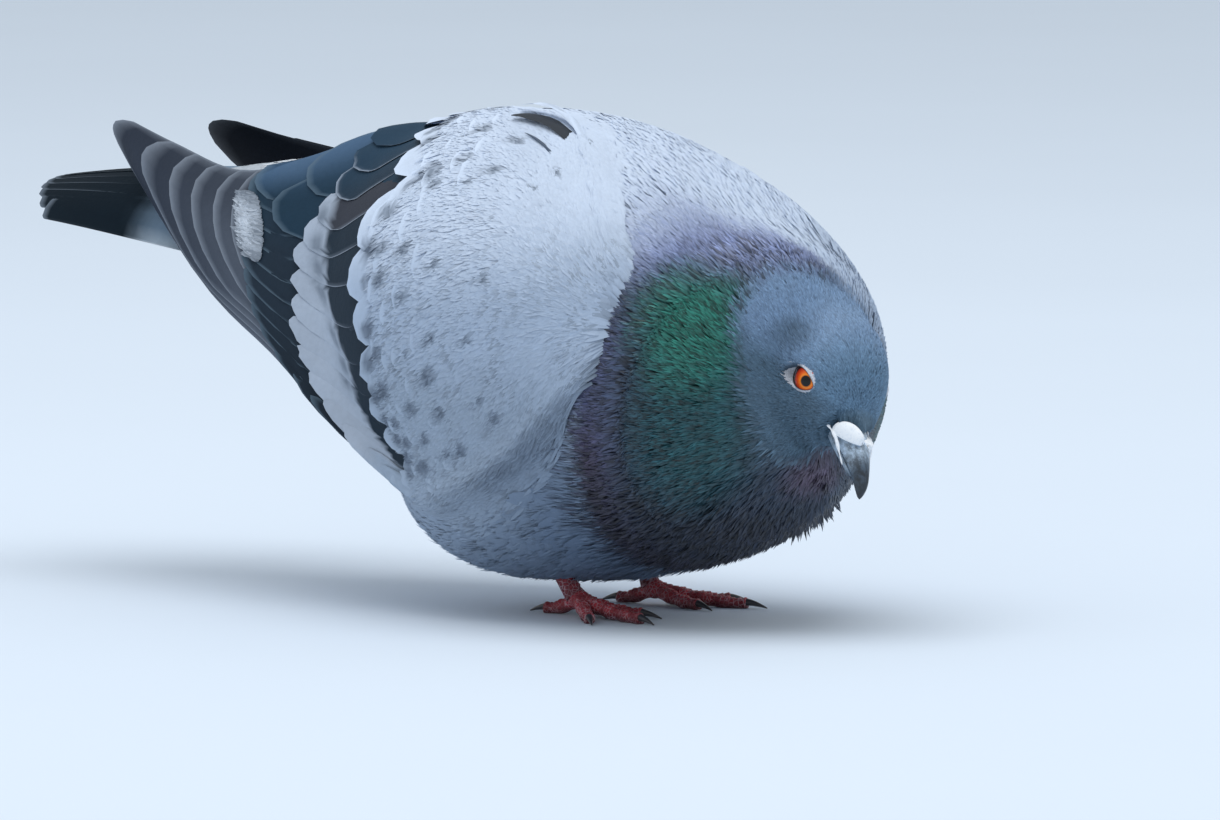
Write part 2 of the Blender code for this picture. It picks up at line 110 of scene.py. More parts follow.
def add_mesh(name, points, faces, finish):
    """A smooth mesh of triangles from arrays, in the frame's metres, with its object at the origin."""
    mesh = bpy.data.meshes.new(name)
    mesh.vertices.add(len(points))
    mesh.vertices.foreach_set("co", to_frame(points).astype(np.float32).ravel())
    mesh.loops.add(faces.size)
    mesh.loops.foreach_set("vertex_index", faces.astype(np.int32).ravel())
    mesh.polygons.add(len(faces))
    mesh.polygons.foreach_set("loop_start", np.arange(len(faces), dtype=np.int32) * 3)
    mesh.update(calc_edges=True)
    mesh.validate()
    mesh.shade_smooth()
    mesh.materials.append(finish)
    made = bpy.data.objects.new(name, mesh)
    bpy.context.scene.collection.objects.link(made)
    return made


AZIMUTH, ELEVATION = math.radians(-47), math.radians(5)
CAMERA_DISTANCE = 3000.0
LOOK_AT = place(1.7, -4.8, 50.5)
FOCAL_LENGTH, SENSOR_WIDTH = 354.0, 36.0
FLOOR_HALF, FLOOR_PALE = 9000.0, paint(214, 226, 240)
SURROUND, SURROUND_STRENGTH = (0.93, 0.97, 1.0, 1), 0.72
PANEL_AT, PANEL_TARGET = (-0.3, -0.1, 2.4), (0, 0, 0.05)
PANEL_SIZE, PANEL_POWER = 2.2, 34  # metres, as its place is, and watts

toward_camera = place(
    math.sin(AZIMUTH) * math.cos(ELEVATION), -math.cos(AZIMUTH) * math.cos(ELEVATION), math.sin(ELEVATION)
)
camera_data = bpy.data.cameras.new("camera")
camera_data.lens = FOCAL_LENGTH
camera_data.sensor_width = SENSOR_WIDTH
camera_data.clip_end = 50.0
camera = bpy.data.objects.new("camera", camera_data)
camera.location = to_frame(LOOK_AT + toward_camera * CAMERA_DISTANCE)
camera.rotation_euler = (math.pi / 2 - ELEVATION, 0, AZIMUTH)
bpy.context.scene.collection.objects.link(camera)
bpy.context.scene.camera = camera
bpy.context.scene.view_settings.view_transform = "Standard"

floor_finish, tree, shader = new_material("floor_paint", 0.9)
coordinates = add_node(tree, "TexCoord")
patches = add_node(tree, "TexNoise", Vector=coordinates.outputs["Object"], Scale=3.0, Detail=3.0)
patch_value = add_node(tree, "MapRange", i0=patches.outputs["Fac"], i3=0.98, i4=1.02)
floor_colour = shaded(tree, (*FLOOR_PALE, 1), patch_value.outputs[0])
tree.links.new(floor_colour, shader.inputs["Base Color"])
floor_points = place(FLOOR_HALF, FLOOR_HALF, 0) * [[-1, -1, 1], [1, -1, 1], [1, 1, 1], [-1, 1, 1]]
floor = add_mesh("floor", floor_points, np.array([[0, 1, 2], [0, 2, 3]]), floor_finish)

world = bpy.data.worlds.new("surround")
world.use_nodes = True
world.node_tree.nodes["Background"].inputs["Color"].default_value = SURROUND
world.node_tree.nodes["Background"].inputs["Strength"].default_value = SURROUND_STRENGTH
bpy.context.scene.world = world

panel_data = bpy.data.lights.new("panel_overhead", "AREA")
panel_data.size = PANEL_SIZE
panel_data.energy = PANEL_POWER
panel = bpy.data.objects.new("panel_overhead", panel_data)
panel.location = PANEL_AT
panel.rotation_euler = (mathutils.Vector(PANEL_TARGET) - panel.location).to_track_quat("-Z", "Y").to_euler()
bpy.context.scene.collection.objects.link(panel)


# ---------------------------------------------------------------- skin
# The bird's skin, one surface from the base of the tail to the root of the bill. It lies inside the feathers,
# thinner-coated on the head than on the trunk, and shows their colours wherever they part, darkened as
# painted
# shade under the coat: a little under the pale body, and more under the dark neck.

HEAD_CENTRE = place(-1.5, -82, 65.5)
HEAD_FORWARD = unit(place(-0.30, -0.648, -0.705))
HEAD_RIGHT = unit(np.cross(HEAD_FORWARD, place(-0.037, -0.745, 0.65)))
HEAD_UP = np.cross(HEAD_RIGHT, HEAD_FORWARD)
HEAD_AXES = np.stack([-HEAD_RIGHT, -HEAD_FORWARD, HEAD_UP])
BILL_ROOT = 18.0
TAIL_ROOT = 114.0
BLEND, FACE_BLEND = 9.0, 5.0


def head_point(left, forward, up):
    """A point given from the head's centre, along the head's own axes."""
    return HEAD_CENTRE + place(left, -forward, up) @ HEAD_AXES


def head_measure(points):
    """Left, forward and up of each point from the head's centre: head_point the other way round."""
    return (points - HEAD_CENTRE) @ HEAD_AXES.T * place(1, -1, 1)


def pitched(degrees):
    """Axes of a mass whose rear end is raised by this angle."""
    c, s = math.cos(math.radians(degrees)), math.sin(math.radians(degrees))
    return np.array([[1, 0, 0], [0, c, s], [0, -s, c]])


# name: centre, radii along its own axes, axes, blend
MASSES = {
    "trunk": (place(0, -1, 68), place(52.5, 78, 55.5), pitched(14), BLEND),
    "belly": (place(0, 4, 40), place(38, 42, 30), pitched(2), BLEND),
    "left_flank": (place(20, 8, 36), place(25, 29, 24), pitched(0), BLEND),
    "right_flank": (place(-20, 8, 36), place(25, 29, 24), pitched(0), BLEND),
    "left_shoulder": (place(21, -24, 74.5), place(29, 42, 32.5), pitched(16), BLEND),
    "right_shoulder": (place(-21, -24, 74.5), place(29, 42, 32.5), pitched(16), BLEND),
    "breast": (place(0, -41, 60), place(48, 38, 39), pitched(0), BLEND),
    "rump": (place(0, 66, 90), place(30, 58, 17), pitched(9), BLEND),
    "vent": (place(0, 60, 71), place(25, 52, 21), pitched(22), BLEND),
    "hind_neck": (place(-1, -62, 74), place(25, 22, 22), pitched(0), BLEND),
    "throat": (place(-3, -61, 47), place(24, 21, 20), pitched(0), BLEND),
    "skull": (HEAD_CENTRE, place(13.5, 17.5, 14), HEAD_AXES, FACE_BLEND),
    "face": (head_point(0, 10, -2.5), place(8.5, 11, 8), HEAD_AXES, FACE_BLEND),
}


def body_distance(points):
    """Roughly the distance to the body's surface. Each mass gives n(n - 1)/slope, with n its egg's radius
    measure, and two of them blend as min(a, b) - blend/4 * (1 - |a - b|/blend)^2 where they are near."""
    total = None
    for centre, radii, axes, blend in MASSES.values():
        local = (points - centre) @ axes.T
        near = np.linalg.norm(local / radii, axis=-1)
        slope = np.linalg.norm(local / radii**2, axis=-1) + 1e-9
        distance = near * (near - 1) / slope
        if total is None:
            total = distance
            continue
        overlap = np.maximum(blend - np.abs(total - distance), 0) / blend
        total = np.minimum(total, distance) - overlap**2 * blend / 4
    bill_plane = (points - HEAD_CENTRE) @ HEAD_FORWARD - BILL_ROOT
    return np.maximum(np.maximum(total, bill_plane), points[..., 1] - TAIL_ROOT)


def reach(starts, spokes, furthest=95.0, steps=64, halvings=12):
    """How far each spoke runs from its start, inside the body, to the first place where it leaves it."""
    near = np.zeros(starts.shape[:-1])
    far = np.full(starts.shape[:-1], furthest)
    out = np.zeros(starts.shape[:-1], bool)
    for step in np.linspace(0, furthest, steps)[1:]:
        left = ~out & (body_distance(starts + spokes * step) > 0)
        far[left] = step
        near[left] = step - furthest / (steps - 1)
        out |= left
    for _ in range(halvings):
        middle = (near + far) / 2
        inside = body_distance(starts + spokes * middle[..., None]) < 0
        near = np.where(inside, middle, near)
        far = np.where(inside, far, middle)
    return (near + far) / 2


def smooth_line(points, shares):
    """Points at these shares, 0 to 1, of a Catmull-Rom curve through the given ones."""
    points = np.asarray(points, float)
    last = len(points) - 1
    at = np.clip(shares, 0, 1) * last
    index = np.minimum(at.astype(int), last - 1)
    f = (at - index)[..., None]
    a, b, c, d = (points[np.clip(index + k, 0, last)] for k in (-1, 0, 1, 2))
    return 0.5 * (2 * b + (c - a) * f + (2 * a - 5 * b + 4 * c - d) * f**2 + (3 * b - a - 3 * c + d) * f**3)


def smooth_step(x, low, high):
    """3t^2 - 2t^3, where t is how far x has come from low to high."""
    t = np.clip((x - low) / (high - low), 0, 1)
    return t * t * (3 - 2 * t)


# Spine stations, tail to neck: y, z, and how far the cross-section there leans forward, in degrees.
SPINE = [
    (98, 101, -8), (78, 96, -10), (50, 87, -11), (20, 77, -9),
    (-10, 68, -4), (-36, 62, 3), (-53, 60, 9), (-64, 60, 13),
]  # fmt: skip
NECK_CENTRE = place(-1, -64, 60)
BILL_WAY = unit(head_point(0, BILL_ROOT, 0) - NECK_CENTRE)

# The body's surface is a grid: v runs from -1 at the tail, by 0 and 1 at the spine's ends, to 2 at the bill.
COLUMNS = 112
BODY_V = np.concatenate([np.linspace(-1, 0, 15)[:-1], np.linspace(0, 1, 105)[:-1], np.linspace(1, 2, 76)])
TURN = np.linspace(0, 2 * np.pi, COLUMNS, endpoint=False)  # 0 on the back, a quarter at the left side
shares = np.clip(BODY_V, 0, 1)
fans = np.radians(90 * (BODY_V - shares))[:, None, None]
line = smooth_line(SPINE, shares)
lean = np.radians(line[:, 2])
toward_head = smooth_step(shares, 0.65, 1)[:, None]
level = np.stack([np.zeros_like(lean), np.cos(lean), np.sin(lean)], 1)
tailward = unit((1 - toward_head) * level - toward_head * BILL_WAY)
across_body = unit(np.cross(tailward, place(0, 0, 1)))
upward = np.cross(across_body, tailward)
centre = np.stack([toward_head[:, 0] * NECK_CENTRE[0], line[:, 0], line[:, 1]], 1)
flat = np.cos(TURN)[None, :, None] * upward[:, None] + np.sin(TURN)[None, :, None] * across_body[:, None]
spokes = np.cos(fans) * flat - np.sin(fans) * tailward[:, None]
starts = np.broadcast_to(centre[:, None], spokes.shape)
BODY = starts + spokes * reach(starts, spokes)[..., None]


def slope_of_body(points, step=0.6):
    """Outward normals: the gradient of the distance, by differences each way."""
    ways = np.eye(3) * step
    return unit(np.stack([body_distance(points + w) - body_distance(points - w) for w in ways], -1))


BODY_NORMAL = slope_of_body(BODY)
BODY_NORMAL[-4:] = unit(BODY_NORMAL[-5].mean(0))
ROW_STEP = np.linalg.norm(np.gradient(BODY, axis=0), axis=-1)  # mm from one row to the next
column_way = np.roll(BODY, -1, 1) - BODY
row_way = BODY[1:] - BODY[:-1]
CELL_AREA = np.linalg.norm(np.cross(row_way, column_way[:-1]), axis=-1)


def sample(grid, row, column):
    """Values of a body grid between its points, weighted by nearness. Columns wrap round the body."""
    row = np.clip(row, 0, len(BODY_V) - 1.001)
    r, c = row.astype(int), np.floor(column).astype(int)
    shape = row.shape + (1,) * (grid.ndim - 2)
    fr, fc = (row - r).reshape(shape), (column - c).reshape(shape)
    c, after = c % COLUMNS, (c + 1) % COLUMNS
    return (grid[r, c] * (1 - fc) + grid[r, after] * fc) * (1 - fr) + (
        grid[r + 1, c] * (1 - fc) + grid[r + 1, after] * fc
    ) * fr


# Colours of the plumage, as an even light shows them.
MANTLE = paint(197, 211, 231)
SIDE = paint(164, 181, 204)
FLANK = paint(152, 168, 188)
BREAST = paint(94, 113, 138)
RUMP = paint(206, 213, 222)
NECK_SLATE = paint(50, 68, 88)
NECK_GREEN = paint(38, 124, 110)
NECK_TEAL = paint(26, 80, 88)
NECK_LILAC = paint(126, 140, 182)
NECK_PURPLE = paint(82, 88, 126)
NECK_MAROON = paint(58, 48, 72)
RUFF = paint(44, 48, 63)
CHIN = paint(96, 80, 100)
CROWN = paint(120, 149, 183)
FOREHEAD = paint(104, 138, 168)
CHEEK = paint(80, 108, 130)

# Where the dark neck begins, as v at each turn in degrees. The neck is twisted: its left side starts later.
NECK_EDGE = [
    (0, 0.93), (12, 1.18), (25, 1.31), (65, 1.35), (85, 1.15), (110, 0.92), (150, 0.80), (200, 0.76),
    (225, 0.76), (250, 0.82), (268, 0.835), (290, 0.81), (310, 0.77), (340, 0.775), (360, 0.93),
]  # fmt: skip
# Where the grey head begins, in the same way.
HEAD_EDGE = [
    (0, 1.20), (25, 1.30), (45, 1.28), (65, 1.35), (97, 1.50), (135, 1.62), (180, 1.86), (225, 1.64),
    (263, 1.52), (295, 1.36), (315, 1.20), (340, 1.14), (360, 1.20),
]  # fmt: skip


def edge_at(stations, turn):
    """v of an edge at each turn, on straight lines between its stations."""
    at, value = np.array(stations, float).T
    return np.interp(np.degrees(turn) % 360, at, value)


def mix(first, second, share):
    """first + (second - first) * share, for colours."""
    return first + (second - first) * np.asarray(share)[..., None]


def patch(points, centre, radii, softness=0.5):
    """1 inside an egg-shaped patch, fading to 0 past its rim."""
    near = np.linalg.norm((points - place(*centre)) / place(*radii), axis=-1)
    return 1 - smooth_step(near, 1 - softness, 1 + softness)


def body_colour(points):
    """Pale above. Below, the grey deepens from the rear flank to the foot of the breast, along z + 0.9 y."""
    y, z = points[..., 1], points[..., 2]
    tone = z + 0.9 * np.minimum(y, 15)
    colour = mix(BREAST, FLANK, smooth_step(tone, -14, 42))
    colour = mix(colour, SIDE, smooth_step(z, 55, 78))
    colour = mix(colour, MANTLE, smooth_step(z, 78, 104))
    return mix(colour, RUMP, smooth_step(y, 48, 75) * smooth_step(z, 86, 96))


def plumage(points, v, turn):
    """Colour of the coat at each place on the body, with tracts laid one over another."""
    x, z = points[..., 0], points[..., 2]
    sides = np.where((x > -1)[..., None], points * place(-1, 1, 1), points)  # both sides of the neck match
    colour = body_colour(points)

    neck = mix(NECK_SLATE + np.zeros_like(colour), NECK_LILAC, smooth_step(z, 80, 94))
    near_edge = 1 - smooth_step(v - edge_at(NECK_EDGE, turn), 0.05, 0.24)
    neck = mix(neck, NECK_PURPLE, near_edge * smooth_step(-z, -92, -66) * 0.9)
    neck = mix(neck, NECK_MAROON, near_edge * smooth_step(-z, -64, -40))
    neck = mix(neck, RUFF, smooth_step(-z, -50, -24) * 0.8)
    neck = mix(neck, NECK_TEAL, patch(sides, (-32, -69, 54), (13, 15, 23), 0.6))
    neck = mix(neck, NECK_GREEN, patch(sides, (-31, -68, 75), (12, 12, 13), 0.6))
    neck = mix(neck, CHIN, patch(points, (-6, -86, 41), (7, 9, 7), 0.6) * 0.8)

    head = CROWN + np.zeros_like(colour)
    _, forward, up = np.moveaxis(head_measure(points), -1, 0)
    head = mix(head, FOREHEAD, smooth_step(forward, 0, 13))
    head = mix(head, CHEEK, smooth_step(-up, -5, 2))
    # Painted shade: a crease behind each eye and the lores before it are darkened to 0.6 of the cheek's grey.
    for sign in (1, -1):
        crease = patch(points, head_point(sign * 13, -2, 4.5), (5, 6, 3.5), 0.6)
        lores_shade = patch(points, head_point(sign * 9, 14, -0.5), (3, 3, 2.5), 0.7)
        head = mix(head, CHEEK * 0.6, 0.6 * crease + 0.4 * lores_shade)

    blur = 0.04 + 0.07 * smooth_step(z, 74, 96)  # the dark neck fades slowly into the pale back
    in_neck = smooth_step((v - edge_at(NECK_EDGE, turn)) / blur, -0.75, 1.25)
    in_head = smooth_step(v - edge_at(HEAD_EDGE, turn), -0.05, 0.05)
    return mix(mix(colour, neck, in_neck), head, in_head)


def coat_depth(v):
    """How far the skin lies inside the feather tips, in mm."""
    return 2.4 - 0.7 * smooth_step(v, 0.75, 1.0) - 1.0 * smooth_step(v, 1.1, 1.5)


def roughen(tree, shader, height, strength, distance, sunk=False):
    """Normal = a bump of this height. Where it is sunk, the high places go in."""
    bump = add_node(tree, "Bump", {"invert": sunk}, Strength=strength, Distance=distance, Height=height)
    tree.links.new(bump.outputs[0], shader.inputs["Normal"])


def set_colours(made, colours):
    """Gives each point its own colour, in the attribute that the plumage material reads."""
    layer = made.data.color_attributes.new("plumage", "FLOAT_COLOR", "POINT")
    full = np.concatenate([colours.reshape(-1, 3), np.ones((len(made.data.vertices), 1))], 1)
    layer.data.foreach_set("color", full.astype(np.float32).ravel())


def set_bake_map(made, uv):
    """The map that keeps every tuft's colour apart: one u, v for each point."""
    layer = made.data.uv_layers.new(name="OFBake")
    corner_of = np.empty(len(made.data.loops), np.int32)
    made.data.loops.foreach_get("vertex_index", corner_of)
    layer.data.foreach_set("uv", uv.reshape(-1, 2)[corner_of].astype(np.float32).ravel())


coat_mottle = bpy.data.node_groups.new("coat_mottle", "ShaderNodeTree")
for socket, way, kind in (
    ("Colour", "INPUT", "Color"), ("Place", "INPUT", "Vector"), ("Scale", "INPUT", "Float"),
    ("Contrast", "INPUT", "Float"), ("Mottled", "OUTPUT", "Color"), ("Grain", "OUTPUT", "Float"),
):  # fmt: skip
    coat_mottle.interface.new_socket(name=socket, in_out=way, socket_type="NodeSocket" + kind)
given = coat_mottle.nodes.new("NodeGroupInput").outputs
put_out = coat_mottle.nodes.new("NodeGroupOutput").inputs
# Colour * value, where value runs from 1 - contrast to 1 + contrast with the sum of a fine and a nine times
# broader noise. Grain is the fine noise.
broader = add_node(coat_mottle, "Math", {"operation": "DIVIDE"}, i0=given["Scale"], i1=9.0)
fine = add_node(coat_mottle, "TexNoise", Vector=given["Place"], Scale=given["Scale"], Detail=4.0)
broad = add_node(coat_mottle, "TexNoise", Vector=given["Place"], Scale=broader.outputs[0], Detail=2.0)
both = add_node(coat_mottle, "Math", {"operation": "ADD"}, i0=fine.outputs["Fac"], i1=broad.outputs["Fac"])
least = add_node(coat_mottle, "Math", {"operation": "SUBTRACT"}, i0=1.0, i1=given["Contrast"])
most = add_node(coat_mottle, "Math", {"operation": "ADD"}, i0=1.0, i1=given["Contrast"])
value = add_node(
    coat_mottle, "MapRange", i0=both.outputs[0], i1=0.6, i2=1.4, i3=least.outputs[0], i4=most.outputs[0]
)
coat_mottle.links.new(shaded(coat_mottle, given["Colour"], value.outputs[0]), put_out["Mottled"])
coat_mottle.links.new(fine.outputs["Fac"], put_out["Grain"])


def plumage_material(name, roughness, contrast, scale, **constants):
    """Feather finish: the point's own colour, mottled by the coat's noise and roughened by its grain."""
    made, tree, shader = new_material(name, roughness, **constants)
    coordinates = add_node(tree, "TexCoord")
    own = add_node(tree, "Attribute", {"attribute_name": "plumage"})
    coat = add_node(
        tree, "Group", {"node_tree": coat_mottle},
        Colour=own.outputs["Color"], Place=coordinates.outputs["Object"], Scale=scale, Contrast=contrast,
    )  # fmt: skip
    tree.links.new(coat.outputs["Mottled"], shader.inputs["Base Color"])
    roughen(tree, shader, coat.outputs["Grain"], 0.25, 0.0004)
    return made


def grid_triangles(rows, columns, wrap=False):
    """Two triangles for each cell of a grid of points, numbered row by row."""
    row, column = np.meshgrid(np.arange(rows - 1), np.arange(columns - (not wrap)), indexing="ij")
    after = (column + 1) % columns
    a, b = row * columns + column, row * columns + after
    c, d = b + columns, a + columns
    return np.stack([np.stack([a, b, c], -1), np.stack([a, c, d], -1)], 2).reshape(-1, 3)


SOCKET = place(14.0, 7.0, 1.4)  # middle of the eye's opening: sideways, forward and up from the head's centre
SOCKET_HALF = (4.1, 3.2)  # half length and half height of the bare skin round the eye
SOCKET_BACK = -0.2  # how far the bare skin's middle lies behind the eye's
SOCKET_TILT = math.radians(17)


def eye_measure(points, sign):
    """Lengthwise, upward and outward place of each point from the middle of an eye's opening."""
    left, forward, up = np.moveaxis(head_measure(points), -1, 0)
    out, f, u = sign * left - SOCKET[0], forward - SOCKET[1], up - SOCKET[2]
    c, s = math.cos(SOCKET_TILT), math.sin(SOCKET_TILT)
    return f * c + u * s, u * c - f * s, out


def in_opening(points):
    """Each point's place in the nearer eye's opening: 0 in its middle, 1 on its edge."""
    found = np.full(points.shape[:-1], 9.0)
    for sign in (1, -1):
        along, high, out = eye_measure(points, sign)
        near = np.hypot((along + SOCKET_BACK) / SOCKET_HALF[0], high / SOCKET_HALF[1])
        found = np.where(np.abs(out) < 7, np.minimum(found, near), found)
    return found


rows = len(BODY_V)
skin_depth = coat_depth(BODY_V)[:, None] + 3.2 * (1 - smooth_step(in_opening(BODY), 0.75, 1.05))
skin_grid = BODY - BODY_NORMAL * skin_depth[..., None]
skin_grid[0] = skin_grid[0].mean(0)
skin_grid[-1] = skin_grid[-1].mean(0)
v_grid, turn_grid = np.meshgrid(BODY_V, TURN, indexing="ij")
skin_finish = plumage_material("skin_under_down", 0.8, 0.1, 400)
skin = add_mesh("skin", skin_grid.reshape(-1, 3), grid_triangles(rows, COLUMNS, True)[:, ::-1], skin_finish)
in_coat = smooth_step(v_grid - edge_at(NECK_EDGE, turn_grid), 0.0, 0.12)
# Painted shade: the coat's colours are darkened to 0.85 on the skin, and to 0.45 under the neck's feathers.
set_colours(skin, plumage(BODY, v_grid, turn_grid) * (0.85 - 0.4 * in_coat)[..., None])
column_share, row_share = np.meshgrid(np.arange(COLUMNS) / COLUMNS, np.arange(rows) / rows, indexing="ij")
set_bake_map(skin, np.stack([column_share.T, row_share.T], -1) * 0.98 + 0.01)
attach(skin, "root")
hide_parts("trunk", "neck", "head")


# ---------------------------------------------------------------- body coat
# Contour feathers of the back, breast and belly: broad soft vanes laid like tiles, and over them the loose
# barbs of their edges. They overlap towards the tail, lie close on the back and stand off under the belly.

rng = np.random.default_rng(7)


def scatter(count, weight, keep=None):
    """Roots spread by area: each cell of the body grid gets its share of the count. Gives each root's row,
    column, place, v and turn, for those whose place passes the keep test."""
    share = np.cumsum((CELL_AREA * weight).ravel())
    spots = (np.arange(count) + rng.random(count)) / count * share[-1]
    row, column = np.divmod(np.searchsorted(share, spots), COLUMNS)
    row, column = row + rng.random(count), column + rng.random(count)
    at = sample(BODY, row, column)
    if keep is not None:
        kept = keep(at)
        row, column, at = row[kept], column[kept], at[kept]
    return row, column, at, np.interp(row, np.arange(rows), BODY_V), column / COLUMNS * 2 * np.pi


def lay_down(row, column, length, lift, yaw):
    """Root, middle and tip of each feather, its way across and its normal. They keep to the body's curve, and
    the tip lies towards the tail by the feather's length, turned by yaw in radians."""
    step = sample(ROW_STEP, row, column)
    depth = coat_depth(np.interp(row, np.arange(rows), BODY_V)) * 0.8
    normal = sample(BODY_NORMAL, row, column)
    root = sample(BODY, row, column)
    tip = sample(BODY, row - length / step, column)
    middle = sample(BODY, row - length / step / 2, column)
    length = length[:, None]
    side = unit(np.cross(normal, unit(tip - root)))
    turned = side * np.tan(yaw)[:, None] * length
    tip = tip + turned + sample(BODY_NORMAL, row - 2, column) * lift[:, None]
    middle = middle + turned * 0.4 + normal * (lift * 0.3 - 0.2 * depth)[:, None]
    return root - normal * depth[:, None], middle, tip, side, normal


def along_feather(root, middle, tip, s):
    """The curve through a feather's root, middle and tip at each share s of its length."""
    s = np.asarray(s)[..., None]
    return root * ((1 - s) * (1 - 2 * s)) + middle * (4 * s * (1 - s)) + tip * (s * (2 * s - 1))


BARB_S = np.array([0, 0.4, 0.75])  # where a barb's cross-sections lie
BARB_WIDTH = np.array([0.7, 1.0, 0.75])


def blades(name, line, width, colour, root_shade, root_uv, finish, roll=0.25):
    """Narrow pointed blades on lines of (root, middle, tip, side, normal). A cross-section at s is
    centre(s) +- side * width * profile(s)."""
    root, middle, tip, side, normal = line
    count = len(root)
    centre = along_feather(root[:, None], middle[:, None], tip[:, None], BARB_S[None])
    rolled = unit(side + normal * rng.normal(0, roll, count)[:, None])
    half = (rolled * width[:, None] / 2)[:, None] * BARB_WIDTH[None, :, None]
    pairs = np.stack([centre - half, centre + half], 2).reshape(count, -1, 3)
    points = np.concatenate([pairs, tip[:, None]], 1)
    s = np.append(np.repeat(BARB_S, 2), 1.0)
    # Painted shade in part: each blade darkens towards its root, its own darker base and the shade of the
    # feathers over it.
    at_root = np.broadcast_to(root_shade, count)[:, None]
    colours = colour.reshape(count, -1, 3) * (at_root + (1 - at_root) * s**0.8)[..., None]
    faces = np.array([[0, 2, 1], [1, 2, 3], [2, 4, 3], [3, 4, 5], [4, 6, 5]])
    t = np.append(np.tile([-1.0, 1.0], len(BARB_S)), 0.0)
    return coat_piece(name, points, colours, faces, root_uv, s, t, finish)


def body_uv(row, column):
    """The bake map's place for a root on the body."""
    return np.stack([column % COLUMNS / COLUMNS, row / rows], -1) * 0.99 + 0.003


def barbs(name, row, column, length, width, lift, yaw, colour, root_shade, finish, roll=0.25):
    """Blades rooted on the body and laid towards the tail."""
    line = lay_down(row, column, length, lift, yaw)
    return blades(name, line, width, colour, root_shade, body_uv(row, column), finish, roll)


BAKE_PATCH = 0.003


def join_feathers(name, points, colours, faces, finish):
    """One mesh of like feathers. The faces are one feather's, and points holds the feathers one by one."""
    each = points[0].size // 3
    all_faces = (faces[None] + np.arange(len(points))[:, None, None] * each).reshape(-1, 3)
    made = add_mesh(name, points.reshape(-1, 3), all_faces, finish)
    set_colours(made, colours)
    return made


def coat_piece(name, points, colours, faces, root_uv, s, t, finish):
    """Joins small feathers, each with its own small patch of the bake map at its root's place."""
    made = join_feathers(name, points, colours, faces, finish)
    set_bake_map(made, root_uv[:, None] + np.stack([t / 2, s - 0.5], -1)[None] * BAKE_PATCH)
    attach(made, "root")
    return made


def clear_of_wings(points):
    """False for roots that the folded wings cover."""
    x, y, z = points.T
    rise = (y + 40) * math.tan(math.radians(13.5))
    top = 84 + rise * 0.75
    low = 50 + rise * 0.9 - 14 * np.sin(np.clip((y + 40) / 90, 0, 1) * np.pi)
    return ~((y > -30) & (y < 78) & (np.abs(x) > 22) & (z < top) & (z > low))


# A vane is a tongue: its columns run to a rounded end, and each column is a clump of barbs with its own end.
VANE_S = np.array([0, 0.4, 0.8, 1.0])
VANE_T = np.linspace(-1, 1, 8)


def tongues(name, line, width, colour, root_shade, root_uv, finish, fringe=0.06, camber=0.5):
    """Broad feathers on lines of (root, middle, tip, side, normal). A point (s, t) lies at
    centre(s * end(t)) + side * width/2 * t - normal * camber * t^2, where end(t) = 1 - 0.38 |t|^2.6 gives the
    round tip, with a little of its own for each clump of barbs."""
    root, middle, tip, side, normal = line
    count = len(root)
    end = 1 - 0.38 * np.abs(VANE_T) ** 2.6 + rng.normal(0, fringe, (count, len(VANE_T)))
    s = VANE_S[None, :, None] * end[:, None]
    centre = along_feather(root[:, None, None], middle[:, None, None], tip[:, None, None], s)
    spread = 0.45 + 0.55 * smooth_step(VANE_S, 0, 0.5)
    t = (spread[:, None] * VANE_T)[None, ..., None]
    points = centre + side[:, None, None] * width[:, None, None, None] / 2 * t
    points = points - normal[:, None, None] * camber * t**2
    s_flat, t_flat = np.repeat(VANE_S, len(VANE_T)), np.tile(VANE_T, len(VANE_S))
    # Painted shade in part: each vane darkens towards its root, its own darker base and the shade of the
    # feathers over it.
    shade = root_shade + (1 - root_shade) * s_flat
    colours = colour[:, None] * shade[None, :, None]
    faces = grid_triangles(len(VANE_S), len(VANE_T))
    return coat_piece(name, points.reshape(count, -1, 3), colours, faces, root_uv, s_flat, t_flat, finish)


def varied(count, middle, spread):
    """Sizes round a middle value, by up to a few times the spread, never below a third of it."""
    return np.maximum(middle * (1 + rng.normal(0, spread, count)), middle / 3)


def clumps(points, size):
    """A slow wave over the body, -1 to 1, so that neighbouring feathers lean and shade together."""
    a, b, c = np.moveaxis(points / size, -1, 0)
    lengthwise, upward = np.sin(b * 1.3 + 1.1 * np.sin(c)), np.cos(c * 0.9 + 0.7 * np.sin(a))
    return np.sin(a + 1.7 * np.sin(b + 0.6)) * lengthwise * upward


VANE_COUNT, VANE_LENGTH, VANE_WIDTH = 5200, 11.0, 7.5
BARB_COUNT, BARB_LENGTH, BARB_BREADTH = 22000, 7.0, 0.9  # for the coat above and again for the coat below

cell_v = np.broadcast_to((BODY_V[:-1, None] + BODY_V[1:, None]) / 2, CELL_AREA.shape)
cell_edge = edge_at(NECK_EDGE, TURN)[None]
on_trunk = smooth_step(cell_edge + 0.08 - cell_v, 0, 0.03)
body_finish = plumage_material("contour_feathers", 0.78, 0.05, 900)

on_coat = smooth_step(cell_edge - 0.02 - cell_v, 0, 0.02)
row, column, at, v_at, turn_at = scatter(VANE_COUNT, on_coat, clear_of_wings)
loose = smooth_step(-at[:, 2], -45, -18)
colour = plumage(at, v_at, turn_at) * varied(len(row), 1.0, 0.03)[:, None]
length, yaw = varied(len(row), VANE_LENGTH, 0.1), rng.normal(0, 0.08, len(row))
line = lay_down(row, column, length, 0.9 * loose - 0.15, yaw)
width = varied(len(row), VANE_WIDTH, 0.08)
body_vanes = tongues("body_vanes", line, width, colour, 0.9, body_uv(row, column), body_finish)

